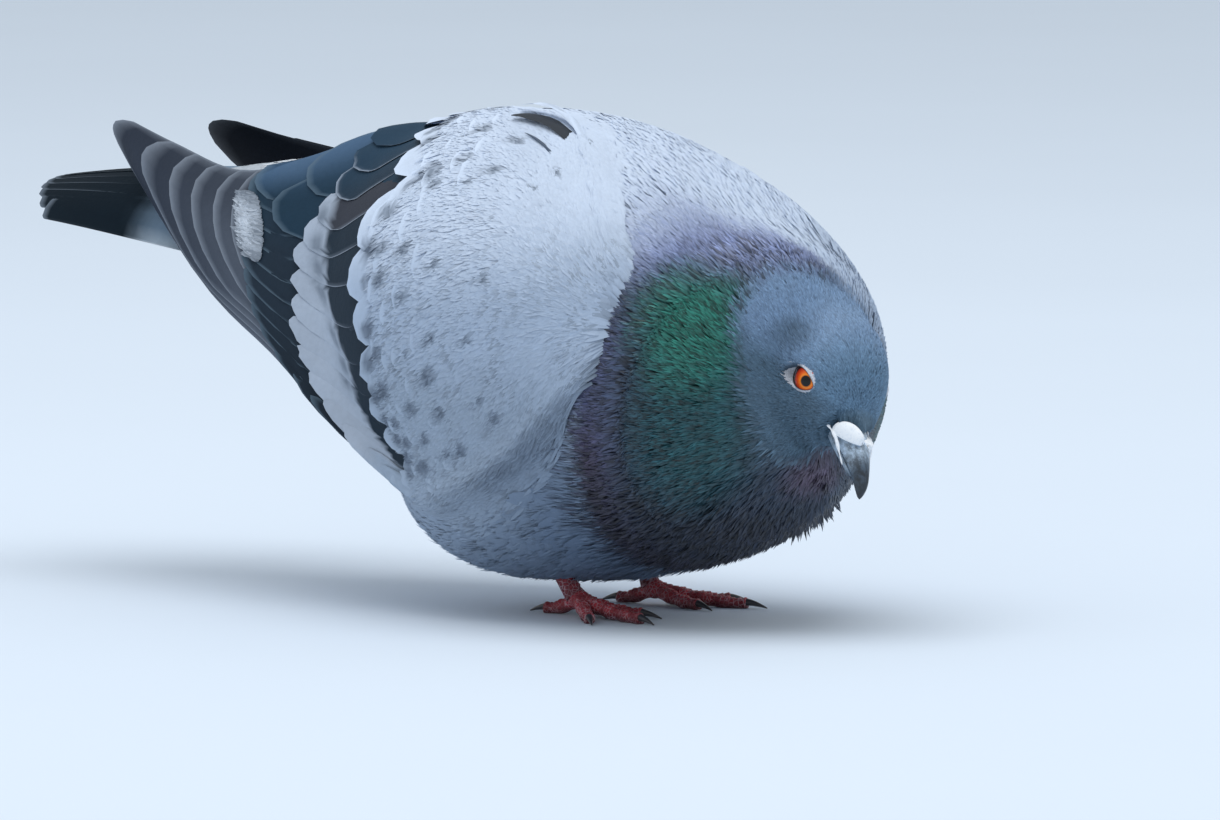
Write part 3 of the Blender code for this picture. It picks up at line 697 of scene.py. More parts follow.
is_low = smooth_step(-(BODY[:-1, :, 2]), -66, -60)
for part, share, root_shade, roll in (("upper", 1 - is_low, 0.95, 0.08), ("lower", is_low, 0.82, 0.2)):
    row, column, at, v_at, turn_at = scatter(BARB_COUNT, on_trunk * share, clear_of_wings)
    loose = smooth_step(-at[:, 2], -40, -15)
    wave = clumps(at, 3.0)
    fine = smooth_step(-at[:, 2], -92, -66)  # the pale back is smooth, and the breast below it is hairy
    value = 1.0 + rng.normal(0, 1, len(row)) * (0.02 + 0.05 * fine) + (0.01 + 0.05 * fine) * wave
    colour = plumage(at, v_at, turn_at) * value[:, None]
    lift = 0.12 + rng.random(len(row)) * (0.1 + 0.2 * fine) + 1.2 * loose * rng.random(len(row)) ** 2
    length = varied(len(row), BARB_LENGTH, 0.2)
    width = varied(len(row), BARB_BREADTH, 0.2) * (1.3 - 0.4 * fine)
    yaw = rng.normal(0, 0.10, len(row)) + 0.12 * wave * fine
    body_barbs = barbs(
        f"body_barbs_{part}", row, column, length, width, lift, yaw, colour, root_shade, body_finish, roll
    )


# ---------------------------------------------------------------- neck coat
# The neck's small glossy feathers end in hair-like forks that catch the light in rows. Green and purple come
# from the feathers themselves. Their roots are darkened, partly their own darker bases and partly painted
# shade, so the gaps between the rows read as fine lines.

on_neck = smooth_step(cell_v, cell_edge - 0.04, cell_edge) * smooth_step(
    edge_at(HEAD_EDGE, TURN)[None] + 0.03 - cell_v, 0, 0.02
)
neck_finish = plumage_material("neck_hackles", 0.42, 0.10, 1200)
HACKLE_COUNT, HACKLE_LENGTH, HACKLE_WIDTH = 17000, 5.2, 0.72  # on each side of the neck
is_left = np.sin(TURN) > 0
for part, half in (("left", is_left), ("right", ~is_left)):
    row, column, at, v_at, turn_at = scatter(HACKLE_COUNT, on_neck * half)
    wave = clumps(at, 1.4)
    ruff = smooth_step(-at[:, 2], -48, -26)
    pale = 1 - smooth_step(v_at - edge_at(NECK_EDGE, turn_at), 0.02, 0.18)
    tone = plumage(at, v_at, turn_at)
    pale = np.maximum(pale * smooth_step(at[:, 2], 74, 90), smooth_step(tone[:, 1], 0.3, 0.5))
    dark = 0.6 * (rng.random(len(row)) < 0.24) * (1 - smooth_step(v_at, 1.2, 1.4)) * (1 - pale)
    value = (varied(len(row), 1.08, 0.2) + 0.3 * wave) * (1 - dark)
    value = value + (1 - value) * pale * 0.8
    colour = tone * value[:, None]
    lift = (0.2 + rng.random(len(row)) * 0.5) * (1 - 0.75 * pale) + ruff * rng.random(len(row)) ** 4 * 1.2
    bristle = patch(at, (11, -67, 28), (9, 7, 7), 0.4) * (rng.random(len(row)) < 0.10)
    lift = lift + 3.0 * bristle * rng.random(len(row))
    # Painted shade: dark roots make the gaps between the neck's rows read as dark lines; pale feathers keep
    # them light.
    root_shade = 0.2 + 0.7 * pale
    length, width = varied(len(row), HACKLE_LENGTH, 0.15), varied(len(row), HACKLE_WIDTH, 0.2)
    yaw = rng.normal(0, 0.12, len(row)) + 0.25 * wave
    roll = 0.25 - 0.19 * pale
    neck_barbs = barbs(
        f"neck_barbs_{part}", row, column, length, width, lift, yaw, colour, root_shade, neck_finish, roll
    )


# ---------------------------------------------------------------- head coat
# The head is clothed in short velvety feathers that run back from the bill, finest round the eyes and the
# gape. They leave the lids and the cere bare.

VELVET_COUNT, VELVET_LENGTH, VELVET_WIDTH = 17000, 3.2, 0.5  # on each side of the head
on_head = smooth_step(cell_v, edge_at(HEAD_EDGE, TURN)[None] - 0.04, edge_at(HEAD_EDGE, TURN)[None])
head_finish = plumage_material("head_velvet", 0.62, 0.07, 1600)
for part, half in (("left", is_left), ("right", ~is_left)):
    row, column, at, v_at, turn_at = scatter(VELVET_COUNT, on_head * half, lambda at: in_opening(at) > 1)
    near_face = smooth_step(v_at, 1.55, 1.85)
    wave = clumps(at, 1.0)
    colour = plumage(at, v_at, turn_at) * (varied(len(row), 1.03, 0.13) + 0.1 * wave)[:, None]
    near_eye = 1 - smooth_step(in_opening(at), 1.0, 1.6)
    length = varied(len(row), VELVET_LENGTH, 0.15) * (1 - 0.5 * near_face) * (1 - 0.55 * near_eye)
    width = varied(len(row), VELVET_WIDTH, 0.15) * (1 - 0.3 * near_face)
    lift = 0.08 + rng.random(len(row)) * 0.14
    yaw = rng.normal(0, 0.10, len(row)) + 0.15 * wave
    head_barbs = barbs(
        f"head_barbs_{part}", row, column, length, width, lift, yaw, colour, 0.38, head_finish
    )


# ---------------------------------------------------------------- wings
# Each folded wing is a shield of small pale coverts, then one row of long greater coverts, dark at the base
# and pale at the tip, then the slate secondaries and the tertials over them. All lie over the long primaries.

WING_TOP_EDGE = [
    (-34, -44, 92), (-14, -12, 116), (-10, 25, 122), (-19, 52, 119),
    (-26, 74, 111), (-28, 95, 107.5), (-23, 122, 112.5), (-16, 152, 119),
]  # fmt: skip
WING_LOW_EDGE = [
    (-50, -44, 66), (-50, -22, 48), (-47, 0, 38), (-44, 20, 35),
    (-44, 45, 47), (-40, 74, 64), (-33, 105, 80), (-16, 151, 111),
]  # fmt: skip
# A line through the trunk, from which the spokes run out to the wing.
WING_AXIS_START = place(0, -40, 66)
WING_RISE = math.radians(13.5)
WING_AXIS = place(0, math.cos(WING_RISE), math.sin(WING_RISE))
WING_AXIS_UP = place(0, -math.sin(WING_RISE), math.cos(WING_RISE))
WING_GAP, WING_BULGE, FULL_WIDTH = 1.2, 3.0, 40.0  # the bulge is less where the wing is narrower than this
WING_THICKNESS, TIP_THICKNESS, TIP_FROM = 2.4, 1.8, 0.63
BLEND_TO_BODY = 4.0
WING_LENGTH = 220.0
WING_ALONG = np.linspace(0, 1, 141)
WING_ACROSS = np.linspace(0, 1, 57)


def wing_sheet(sign):
    """Outer face of a folded wing: a strip between its two edges, pushed out to lie on the body, with its own
    thickness on top, thin at the bend and along the upper edge."""
    across = WING_ACROSS
    upper = smooth_line(WING_TOP_EDGE, WING_ALONG)[:, None]
    lower = smooth_line(WING_LOW_EDGE, WING_ALONG)[:, None]
    share = across[None, :, None]
    strip = upper * (1 - share) + lower * share - WING_AXIS_START
    height, sideways = strip @ WING_AXIS_UP, strip[..., 0]
    bulge = WING_BULGE * np.minimum(1, np.linalg.norm(upper - lower, axis=-1) / FULL_WIDTH)
    radius = np.hypot(height, sideways) + bulge * 4 * (across * (1 - across))[None, :]
    start = WING_AXIS_START + (strip @ WING_AXIS)[..., None] * WING_AXIS
    spoke = unit(height[..., None] * WING_AXIS_UP + sideways[..., None] * place(1, 0, 0))
    on_body = np.where(body_distance(start) < -1, reach(start, spoke), 0) + WING_GAP
    near = np.maximum(BLEND_TO_BODY - np.abs(radius - on_body), 0) / BLEND_TO_BODY
    radius = np.maximum(radius, on_body) + near**2 * BLEND_TO_BODY / 4
    at_bend, at_top = (np.minimum(1, 0.3 + share / 0.12) for share in (WING_ALONG[:, None], across))
    thickness = np.where(WING_ALONG[:, None] > TIP_FROM, TIP_THICKNESS, WING_THICKNESS * at_bend * at_top)
    points = start + spoke * (radius + thickness)[..., None]
    return points * place(-sign, 1, 1)


def wing_measures(sheet, sign):
    """Outward normal, way along and way across at each point of a wing sheet, its width at each station, and
    how many mm one whole of along is worth at each point."""
    along, across = unit(np.gradient(sheet, axis=0)), unit(np.gradient(sheet, axis=1))
    normal = unit(np.cross(along, across)) * -sign
    normal = np.where((normal[..., :1] * sign) < -0.5, -normal, normal)
    width = np.linalg.norm(np.diff(sheet, axis=1), axis=-1).sum(1)
    speed = np.linalg.norm(np.gradient(sheet, WING_ALONG, axis=0), axis=-1)
    return normal, along, across, width, speed


def sample_wing(grid, along, across):
    """Values of a wing grid between its points, held at its edges."""
    r = np.clip(along, 0, 1) * (len(WING_ALONG) - 1)
    c = np.clip(across, 0, 1) * (len(WING_ACROSS) - 1)
    i, j = np.minimum(r.astype(int), len(WING_ALONG) - 2), np.minimum(c.astype(int), len(WING_ACROSS) - 2)
    shape = r.shape + (1,) * (grid.ndim - 2)
    fi, fj = (r - i).reshape(shape), (c - j).reshape(shape)
    return (grid[i, j] * (1 - fj) + grid[i, j + 1] * fj) * (1 - fi) + (
        grid[i + 1, j] * (1 - fj) + grid[i + 1, j + 1] * fj
    ) * fi


# Where the points lie along a short feather, along a long one with its round end, and across any of them.
SHORT_S = np.array([0, 0.15, 0.3, 0.45, 0.6, 0.7, 0.8, 0.88, 0.94, 1.0])
LONG_S = np.append(np.linspace(0, 0.8, 13), [0.86, 0.91, 0.95, 0.98, 1.0])
QUILL_T = np.array([-1, -0.96, -0.84, -0.55, -0.25, 0, 0.25, 0.55, 0.84, 0.96, 1.0])


def long_feathers(name, points, colours, s, t, faces, finish):
    """Joins large feathers, given as grids of points (feather, s, t). Each has a square cell of its own in
    the bake map: (column + 0.05 + 0.9 * (t + 1)/2, row + 0.05 + 0.9 * s) / cells."""
    made = join_feathers(name, points, colours, faces, finish)
    cells = math.ceil(math.sqrt(len(points)))
    row, column = np.divmod(np.arange(len(points)), cells)
    corner = np.stack([column, row], -1)[:, None, None]
    set_bake_map(made, (corner + np.stack([(t + 1) / 2, s], -1) * 0.9 + 0.05) / cells)
    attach(made, "root")
    return made


BASE_WIDTH = 0.6  # a feather's width at its root, as a share of its full one
CAMBER = 0.35  # how far its edges lie below its shaft
EDGE_DROP, DROP_WITHIN = 0.4, 1.2  # how steeply it bends down past the wing's edge, and over what length


def wing_feathers(name, sign, tips, length, width, colour_of, finish, depth=1.7, lift=0.15, tilt=0.25,
                  roundness=0.42, fringe=0.012, s_line=SHORT_S, low_gap=None, overhang=1.2):  # fmt: skip
    """Feathers on the wing, one for each tip (along, across). A point (s, t) is the sheet's point at
    tip - (1 - s) * length, moved width/2 * t across, and raised by lift * s - depth * (1 - s) + tilt * t,
    less the camber. The end is round: s stops at 1 - roundness * (|t|^2.5 + 0.22 |t|^12). With low_gap a
    feather runs from the wing's upper edge to that far from its lower one instead. Past an edge it bends down
    and ends within the overhang. colour_of gives its colour from s, t, the wing's measures and its number."""
    sheet, (normal, _, across_way, wide, speed) = WING[sign]
    tip_along, tip_across = np.asarray(tips, float).T[..., None, None]
    count = len(tips)
    length, width, lift, roundness = (
        np.broadcast_to(size, count)[:, None, None] for size in (length, width, lift, roundness)
    )
    number, s_even, t = np.broadcast_arrays(np.arange(count)[:, None, None], s_line[:, None], QUILL_T)
    end = 1 - roundness * np.abs(QUILL_T) ** 2.5 + rng.normal(0, fringe, (count, 1, len(QUILL_T)))
    end = end - roundness * 0.22 * np.abs(QUILL_T) ** 12
    s = s_even * end
    pace = sample_wing(speed, tip_along - length / 2 / WING_LENGTH, tip_across)
    along = tip_along - (1 - s) * length / pace
    station_width = np.interp(along, WING_ALONG, wide)
    spread = BASE_WIDTH + (1 - BASE_WIDTH) * smooth_step(s_even, 0, 0.5)
    if low_gap is None:
        across = tip_across + width / 2 * t * spread / station_width
    else:
        across = (1 - low_gap[:, None, None] / station_width) * (t + 1) / 2
    beyond = overhang * np.tanh((across - np.clip(across, 0, 1)) * station_width / overhang)
    height = lift * s - depth * (1 - s) + tilt * t - CAMBER * (t * spread) ** 2
    height = height - EDGE_DROP * np.minimum(np.abs(beyond), DROP_WITHIN)
    way = sample_wing(across_way, along, across)
    points = sample_wing(sheet, along, across) + way * beyond[..., None]
    points = points + sample_wing(normal, along, across) * height[..., None]
    colours = colour_of(s_even, t, along, across, points, number)
    faces = grid_triangles(len(s_line), len(QUILL_T))
    made = long_feathers(name, points, colours, s_even, t, faces if sign > 0 else faces[:, ::-1], finish)
    return made


FLECK = paint(76, 90, 109)
BAR = paint(32, 46, 59)
BAR_PAINTED_SHEEN = paint(38, 62, 82)
BAR_BROWN = paint(54, 58, 68)
BAND = paint(164, 176, 193)
BLOTCH = paint(90, 102, 117)
SECONDARY = paint(33, 46, 59)
TERTIAL = paint(30, 54, 72)
TERTIAL_PAINTED_HIGHLIGHT = paint(70, 97, 126)
SECONDARY_EDGE = paint(92, 112, 128)
WHITE_WEB = paint(205, 215, 228)
PRIMARY = paint(46, 54, 68)
PRIMARY_BASE = paint(84, 92, 105)
PRIMARY_EDGE = paint(134, 143, 156)

# Lines across the wing, as (along, across): tips of the last small coverts, of the greater coverts and of the
# secondaries, and where the pale band begins, all from the upper edge down.
SMALL_TIPS = [
    (0.355, 0.02), (0.37, 0.12), (0.362, 0.215), (0.35, 0.29), (0.41, 0.34), (0.395, 0.435), (0.385, 0.525),
    (0.393, 0.60), (0.405, 0.70), (0.395, 0.80), (0.37, 0.89), (0.41, 0.95), (0.44, 1.0),
]  # fmt: skip
GREATER_TIPS = [
    (0.45, 0.03), (0.49, 0.12), (0.535, 0.22), (0.585, 0.33), (0.60, 0.49), (0.615, 0.66), (0.60, 0.82),
    (0.56, 0.95), (0.50, 0.98), (0.43, 0.99),
]  # fmt: skip
BAND_FRONT = [
    (0.495, 0), (0.495, 0.12), (0.515, 0.25), (0.525, 0.36), (0.52, 0.44), (0.485, 0.535), (0.465, 0.62),
    (0.475, 0.70), (0.48, 0.77), (0.47, 0.86), (0.43, 0.92), (0.38, 1.0),
]  # fmt: skip
SECONDARY_TIPS = [
    (0.69, 0.10), (0.70, 0.20), (0.705, 0.30), (0.71, 0.46), (0.715, 0.60), (0.71, 0.72), (0.70, 0.81),
    (0.68, 0.88), (0.65, 0.92), (0.61, 0.94),
]  # fmt: skip
# The three innermost, the longest first: each lies over the one before.
TERTIAL_TIPS = [(0.672, 0.07), (0.632, 0.20), (0.562, 0.09)]

LEFT_TUCK = 3.8  # how much closer to the body the left wing is pressed at its front
LEFT_LOW = place(-2, 0, -1.5)  # and how far its tip lies inwards and down
WING = {}
for sign in (1, -1):
    sheet = wing_sheet(sign)
    measures = wing_measures(sheet, sign)
    if sign > 0:
        sheet = sheet - measures[0] * (LEFT_TUCK * (1 - smooth_step(WING_ALONG, 0.35, 0.6)))[:, None, None]
        sheet = sheet + LEFT_LOW * smooth_step(WING_ALONG, 0.7, 0.9)[:, None, None]
    WING[sign] = (sheet, measures)


def noise_of(number, salt):
    """A steady number from 0 to 1 for each feather."""
    return np.modf(np.abs(np.sin(number * 12.9898 + salt * 78.233) * 43758.5453))[0]


def rim_of(s, t, width=0.14):
    """1 on a feather's rim, fading inwards."""
    near_side = smooth_step(np.abs(t), 1 - width * 1.6, 1.0)
    near_end = smooth_step(s, 1 - width, 1.0)
    return np.maximum(near_side * smooth_step(s, 0.3, 0.7), near_end)


def covert_colour(s, t, along, across, points, number):
    """The pale grey of the flank beside it, paler on the rim, with the shield's smudges."""
    colour = body_colour(points) * (0.98 + 0.04 * noise_of(number, 1))[..., None]
    colour = mix(colour, colour * 1.08, rim_of(s, t, 0.2))
    return mix(colour, FLECK, fleck_share(points) * 0.75)


def greater_colour(s, t, along, across, points, number):
    """Dark up to the line where the band begins, then pale to the tip. The topmost have only a pale rim."""
    starts, at = np.array(BAND_FRONT).T
    step = 0.016 * (noise_of(number, 5) - 0.5) + 0.002 * np.sin(t * 6 + number * 2.3)
    past = along + step - np.interp(across, at, starts)
    pale = smooth_step(past, -0.004, 0.006) * smooth_step(across + 0.25 * (s - 0.9), 0.10, 0.20)
    # Painted sheen: towards the wing's upper edge the dark part of each covert is lighter and bluer.
    dark = mix(BAR, BAR_PAINTED_SHEEN, 1 - smooth_step(across, 0.05, 0.3))
    dark = mix(dark, BAR_BROWN, (number == 3) * 1.0)
    dark = mix(dark, BAND, rim_of(s, t, 0.035) * smooth_step(across, 0.06, 0.14) * 0.8)
    light = BAND * (0.97 + 0.06 * noise_of(number, 7))[..., None]
    blot = np.exp(-(((past - 0.022) / 0.014) ** 2) - ((t - 0.9 * (noise_of(number, 8) - 0.5)) / 0.5) ** 2)
    light = mix(light, BLOTCH, blot * 0.8 * (noise_of(number, 9) < 0.75) * (across < 0.8))
    low_end = smooth_step(across, 0.90, 0.95) * (1 - smooth_step(along, 0.46, 0.52))
    return mix(mix(dark, light, pale), body_colour(points), low_end)


def secondary_colour(s, t, along, across, points, number):
    """Slate, bluer towards the back and darker below, each with a fine pale edge."""
    colour = mix(SECONDARY, TERTIAL, smooth_step(-across, -0.42, -0.05) * 0.9)
    colour = mix(colour, SECONDARY * 0.75, smooth_step(across, 0.6, 0.9))
    return mix(colour, SECONDARY_EDGE, rim_of(s, t, 0.05) * 0.7)


def tertial_colour(s, t, along, across, points, number):
    """Dark slate blue, painted lighter along the wing's upper edge as a highlight, and a fine pale rim."""
    colour = mix(TERTIAL, TERTIAL_PAINTED_HIGHLIGHT, smooth_step(-across, -0.16, 0.0))
    return mix(colour, SECONDARY_EDGE, rim_of(s, t, 0.05) * 0.7)


def primary_colour(s, t, along, across, points, number):
    """Brown-grey, darkest at the tip and lighter where the wing narrows, with a thin pale edge."""
    colour = mix(PRIMARY_BASE, PRIMARY, smooth_step(along, 0.66, 0.92))
    colour = mix(colour, PRIMARY * 0.8, smooth_step(-across, -0.45, -0.1) * 0.6)
    colour = mix(colour, colour * 0.6, smooth_step(along, 0.95, 1.0))
    colour = mix(colour, PRIMARY_EDGE, rim_of(s, t, 0.04) * 0.8)
    # Painted shade: the far wing's primaries, on the left, are darkened to 0.35, as they are seen in shadow.
    return np.where(points[..., :1] > 0, colour * 0.35, colour)


def along_line(line, shares):
    """Points at these shares of a line's length, measured on the wing in the same units."""
    line = np.array(line)
    lengths = np.append(0, np.cumsum(np.hypot(*(np.diff(line, axis=0) * (2.2, 0.9)).T)))
    at = np.asarray(shares) * lengths[-1]
    return np.stack([np.interp(at, lengths, line[:, k]) for k in (0, 1)], -1)


def beside_wing(sign, along, across):
    """Places and normals on the wing, or on the body where along or across run past the wing's edge."""
    sheet, (normal, along_way, across_way, wide, speed) = WING[sign]
    a, c = np.clip(along, 0, 1), np.clip(across, 0, 1)
    on_wing, out = sample_wing(sheet, a, c), sample_wing(normal, a, c)
    past_along = (along - a) * sample_wing(speed, a, c)
    past_across = (across - c) * np.interp(a, WING_ALONG, wide)
    moved = on_wing + past_along[..., None] * sample_wing(along_way, a, c)
    moved = moved + past_across[..., None] * sample_wing(across_way, a, c)
    down = moved
    for _ in range(4):
        down = down - slope_of_body(down) * body_distance(down)[..., None]
    share = smooth_step(np.hypot(past_along, past_across), 0, 11)[..., None]
    return moved + (down - moved) * share, unit(out + (slope_of_body(down) - out) * share)


FLECK_ROWS = [(0.017, 15, 2.9), (0.05, 12, 2.6), (0.095, 10, 2.1), (0.15, 9, 1.7), (0.22, 8, 1.4)]


def fleck_places():
    """Middles and sizes of the smudges on both shields. Each row of FLECK_ROWS gives how far before the last
    coverts' tips they lie, how many there are, and their size."""
    middles, sizes = [], []
    for sign in (1, -1):
        for back, count, size in FLECK_ROWS:
            line = along_line(SMALL_TIPS, (np.arange(count) + 0.5 + rng.normal(0, 0.2, count)) / count * 0.9)
            line[:, 0] -= back + rng.normal(0, 0.006, count)
            found, out = beside_wing(sign, *line.T)
            middles.append(found + out * 0.6)
            sizes.append(varied(count, size, 0.25))
    return np.concatenate(middles), np.concatenate(sizes)


FLECK_AT, FLECK_SIZE = fleck_places()


def fleck_share(points):
    """1 in the middle of a smudge, fading out at its ragged rim."""
    ragged = 1 + 0.35 * clumps(points, 0.45)[..., None]
    away = np.linalg.norm(points[..., None, :] - FLECK_AT, axis=-1) / FLECK_SIZE * ragged
    return (1 - smooth_step(away, 0.4, 1.1)).max(-1)


def wing_line(sign, along, across, ahead, down, sink, arch, lift):
    """Lines for feathers rooted on the wing or beside it, with tips this far ahead of and below their roots.
    Gives root, middle, tip, side and normal, with the root sunk, the middle arched up and the tip lifted."""
    _, (_, _, _, wide, speed) = WING[sign]
    a, c = np.clip(along, 0, 1), np.clip(across, 0, 1)
    step_along, step_across = ahead / sample_wing(speed, a, c), down / np.interp(a, WING_ALONG, wide)
    root, normal = beside_wing(sign, along, across)
    middle, middle_normal = beside_wing(sign, along + step_along / 2, across + step_across / 2)
    tip, tip_normal = beside_wing(sign, along + step_along, across + step_across)
    root, middle = root - normal * sink[:, None], middle + middle_normal * arch[:, None]
    tip = tip + tip_normal * lift[:, None]
    return root, middle, tip, unit(np.cross(normal, unit(tip - root))), normal


def wing_blades(name, sign, along, across, length, width, lift, slant, sink, colour, finish, flecked=False):
    """Blades that run along the wing from these roots. slant turns them down across it, in radians. A flecked
    one takes the shield's smudges at its root, middle and tip, and between them in proportion."""
    ahead, down = length * np.cos(slant), length * np.sin(slant)
    line = wing_line(sign, along, across, ahead, down, sink, 0.1 + lift * 0.4, lift)
    if flecked:
        weights = np.repeat([[1, 0, 0], [0.2, 0.8, 0], [0, 0.5, 0.5]], 2, axis=0)
        share = np.stack([fleck_share(part) for part in line[:3]], -1) @ np.append(weights, [[0, 0, 1]], 0).T
        colour = mix(colour[:, None], FLECK, share * 0.95)
    spot = np.stack([across * 0.8 + 0.1, along * 0.8 + 0.1], -1)
    made = blades(name, line, width, colour, 0.93, spot, finish, 0.12)
    return made


# The wing's base is a plain sheet under the feathers, which stops where the primaries run on alone.
WING_BASE_END, WING_BASE_SUNK = 0.7, 1.9
# The primaries' tips along the wing, from the longest. Their quills start together. The longest reaches out
# past the wing's lower edge, and each of the others ends one step further in than the one before.
PRIMARY_TIPS = np.array([1.0, 0.927, 0.872, 0.822, 0.771, 0.73, 0.70])
PRIMARY_START, PRIMARY_STEP, PRIMARY_OUT = 0.52, 3.8, 0.6
PRIMARY_PACE, PRIMARY_END = 260.0, 9.0  # mm for a whole wing's length, and the length of a tip's round end
WEB_COUNT, WEB_LENGTH, WEB_BREADTH = 700, 4.5, 1.3
DOWN_COUNT, DOWN_LENGTH, DOWN_WIDTH = 26000, 6.5, 1.2
wing_finish = plumage_material("wing_vanes", 0.62, 0.07, 700, Specular_IOR_Level=0.12)
down_finish = plumage_material("wing_down", 0.78, 0.05, 900)
for side, sign in (("left", 1), ("right", -1)):
    sheet, (normal, _, _, wide, _) = WING[sign]
    last = int(WING_BASE_END * len(WING_ALONG))
    under = (sheet - normal * WING_BASE_SUNK)[:last]
    faces = grid_triangles(last, len(WING_ACROSS))
    under_sheet = add_mesh(f"wing_base_{side}", under.reshape(-1, 3), faces, wing_finish)
    along, across = np.meshgrid(WING_ALONG[:last], WING_ACROSS, indexing="ij")
    # Painted shade: the sheet's colours are darkened to 0.6, as the shade beneath the wing's feathers.
    set_colours(under_sheet, mix(body_colour(under), SECONDARY, smooth_step(along, 0.29, 0.34)) * 0.6)
    set_bake_map(under_sheet, np.stack([across, along], -1))
    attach(under_sheet, "root")
    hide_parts(f"wing_{side}")

    length = (PRIMARY_TIPS - PRIMARY_START) * PRIMARY_PACE
    primaries = wing_feathers(
        f"primary_vanes_{side}", sign, np.stack([PRIMARY_TIPS, np.full(len(length), 0.5)], -1), length, 20,
        primary_colour, wing_finish, depth=3.0, lift=0.0, tilt=-0.2, roundness=PRIMARY_END / length,
        fringe=0.002, s_line=np.append(np.linspace(0, 0.8, 17), LONG_S[-5:]),
        low_gap=PRIMARY_STEP * np.arange(len(length)) - PRIMARY_OUT,
    )  # fmt: skip
    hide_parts(f"primaries_{side}")

    tips = along_line(SECONDARY_TIPS, np.linspace(0, 1, 12))[::-1]
    wing_feathers(
        f"secondaries_{side}", sign, tips, 66, np.linspace(10, 16, 12), secondary_colour, wing_finish,
        depth=2.0, lift=0.0, tilt=0.35, roundness=0.2, fringe=0.003, overhang=0.5, s_line=LONG_S,
    )  # fmt: skip
    wing_feathers(
        f"tertials_{side}", sign, TERTIAL_TIPS, [62, 58, 50], [17, 19, 20], tertial_colour, wing_finish,
        depth=1.6, lift=[0.3, 0.5, 0.7], tilt=-0.15, roundness=0.3, fringe=0.003, s_line=LONG_S,
    )  # fmt: skip
    tips = along_line(GREATER_TIPS, np.linspace(0, 1, 16))
    wing_feathers(
        f"greater_coverts_{side}", sign, tips, np.linspace(40, 44, 16), 12.5, greater_colour, wing_finish,
        depth=1.9, lift=0.8, tilt=0.2, roundness=0.22, fringe=0.01,
        s_line=np.append(np.linspace(0, 0.9, 19), [0.94, 0.97, 1.0]),
    )  # fmt: skip
    small = []
    for k in range(5):
        shares = np.clip(np.linspace(0, 1, 13 - k // 3) + (k % 2) * 0.035, 0, 1)
        line_k = along_line(SMALL_TIPS, shares)
        line_k[:, 0] = line_k[:, 0] * (1 - k / 12.5) + 0.01
        small.append(line_k + rng.normal(0, 0.006, line_k.shape))
    small = np.concatenate(small[::-1])
    wing_feathers(
        f"small_coverts_{side}", sign, small, 17, 13, covert_colour, down_finish,
        depth=1.5, lift=0.85, tilt=0.12, roundness=0.42, fringe=0.02,
    )  # fmt: skip

    # The one white soft web that shows where the secondaries end.
    count = WEB_COUNT
    angle, away = rng.random(count) * 2 * np.pi, np.sqrt(rng.random(count))
    along, across = 0.675 + 0.018 * away * np.cos(angle), 0.28 + 0.15 * away * np.sin(angle)
    length, width = varied(count, WEB_LENGTH, 0.2), varied(count, WEB_BREADTH, 0.2)
    lift, slant = 0.4 + 0.1 * rng.random(count), rng.normal(0, 0.12, count)
    colour = mix(WHITE_WEB, BLOTCH, away**3 * 0.8) * varied(count, 0.9, 0.06)[:, None]
    wing_blades(
        f"white_web_{side}", sign, along, across, length, width, lift, slant, np.full(count, -0.2), colour,
        down_finish,
    )  # fmt: skip

    # Down of the shield: it runs on over the wing's front, upper and lower edges, so that none of them shows.
    count = DOWN_COUNT
    along, across = rng.random(count) * 0.43 - 0.07, rng.random(count) * 1.36 - 0.16
    last_row, at_row = np.array(SMALL_TIPS).T
    room = np.interp(across, at_row, last_row) - along
    keep = room > 0.045 + 0.03 * rng.random(count)
    keep &= rng.random(count) < smooth_step(along, -0.07, 0)
    keep &= rng.random(count) < smooth_step(across, -0.16, -0.06)
    keep &= rng.random(count) > smooth_step(across, 1, 1.2)
    along, across = along[keep], across[keep]
    found, _ = beside_wing(sign, along, across)
    wave = clumps(found, 3.2)
    fine = smooth_step(-found[:, 2], -88, -62)
    # Painted shadow: fine dark lines in rows across the middle of the shield, as under the edges of small
    # feathers.
    row_of = along * 48 + 0.9 * clumps(found, 5.0) + 0.25 * np.cos(across * 56)
    ripple_shadow = smooth_step(np.sin(row_of * 2 * np.pi), 0.5, 1.0) * smooth_step(clumps(found, 6.5), -0.4, 0.2)
    ripple_shadow = ripple_shadow * smooth_step(-found[:, 2], -104, -86)
    value = 1.0 + rng.normal(0, 0.012 + 0.018 * fine, len(found)) + 0.025 * wave * fine - 0.3 * ripple_shadow
    raised = smooth_step(along, 0, 0.12) * smooth_step(across, -0.02, 0.08)
    slant = 0.10 + 0.35 * np.clip(across - 0.4, 0, 1) + rng.normal(0, 0.1, len(found)) + 0.12 * wave
    slant = slant - 0.5 * smooth_step(across, 1.0, 1.12) + 0.3 * smooth_step(-across, -0.02, 0.08)
    length = varied(len(found), DOWN_LENGTH, 0.15)
    width = varied(len(found), DOWN_WIDTH, 0.2) * (1.4 - 0.5 * fine)
    lift = 0.3 + 0.45 * raised + 0.15 * fine * rng.random(len(found))
    wing_blades(
        f"shield_down_{side}", sign, along, across, length, width, lift, slant, 0.5 - 0.6 * raised,
        body_colour(found) * value[:, None], down_finish, True,
    )  # fmt: skip


# ---------------------------------------------------------------- tail
# Twelve long feathers closed like a fan under a low roof, the middle pair on top. They are grey with a broad
# dark band before a thin pale rim. The outermost have a narrow white edge.

TAIL_TIP, QUILL_START = 185.0, TAIL_ROOT - 14
TAIL_FEATHERS = 12
TAIL_ROOF = (16.0, 4.6)  # how far its sides hang below its ridge, at the root and at the tip
BAND_FROM, WHITE_UNTIL = (128, 142), (128, 140)  # y where the dark band fades in, and the white edge out
TAIL_GREY = paint(108, 129, 150)
TAIL_DARK = paint(12, 25, 35)
TAIL_RIM = paint(112, 124, 138)
TAIL_WHITE = paint(170, 184, 198)

tail_finish = plumage_material("tail_vanes", 0.7, 0.08, 600, Specular_IOR_Level=0.05)
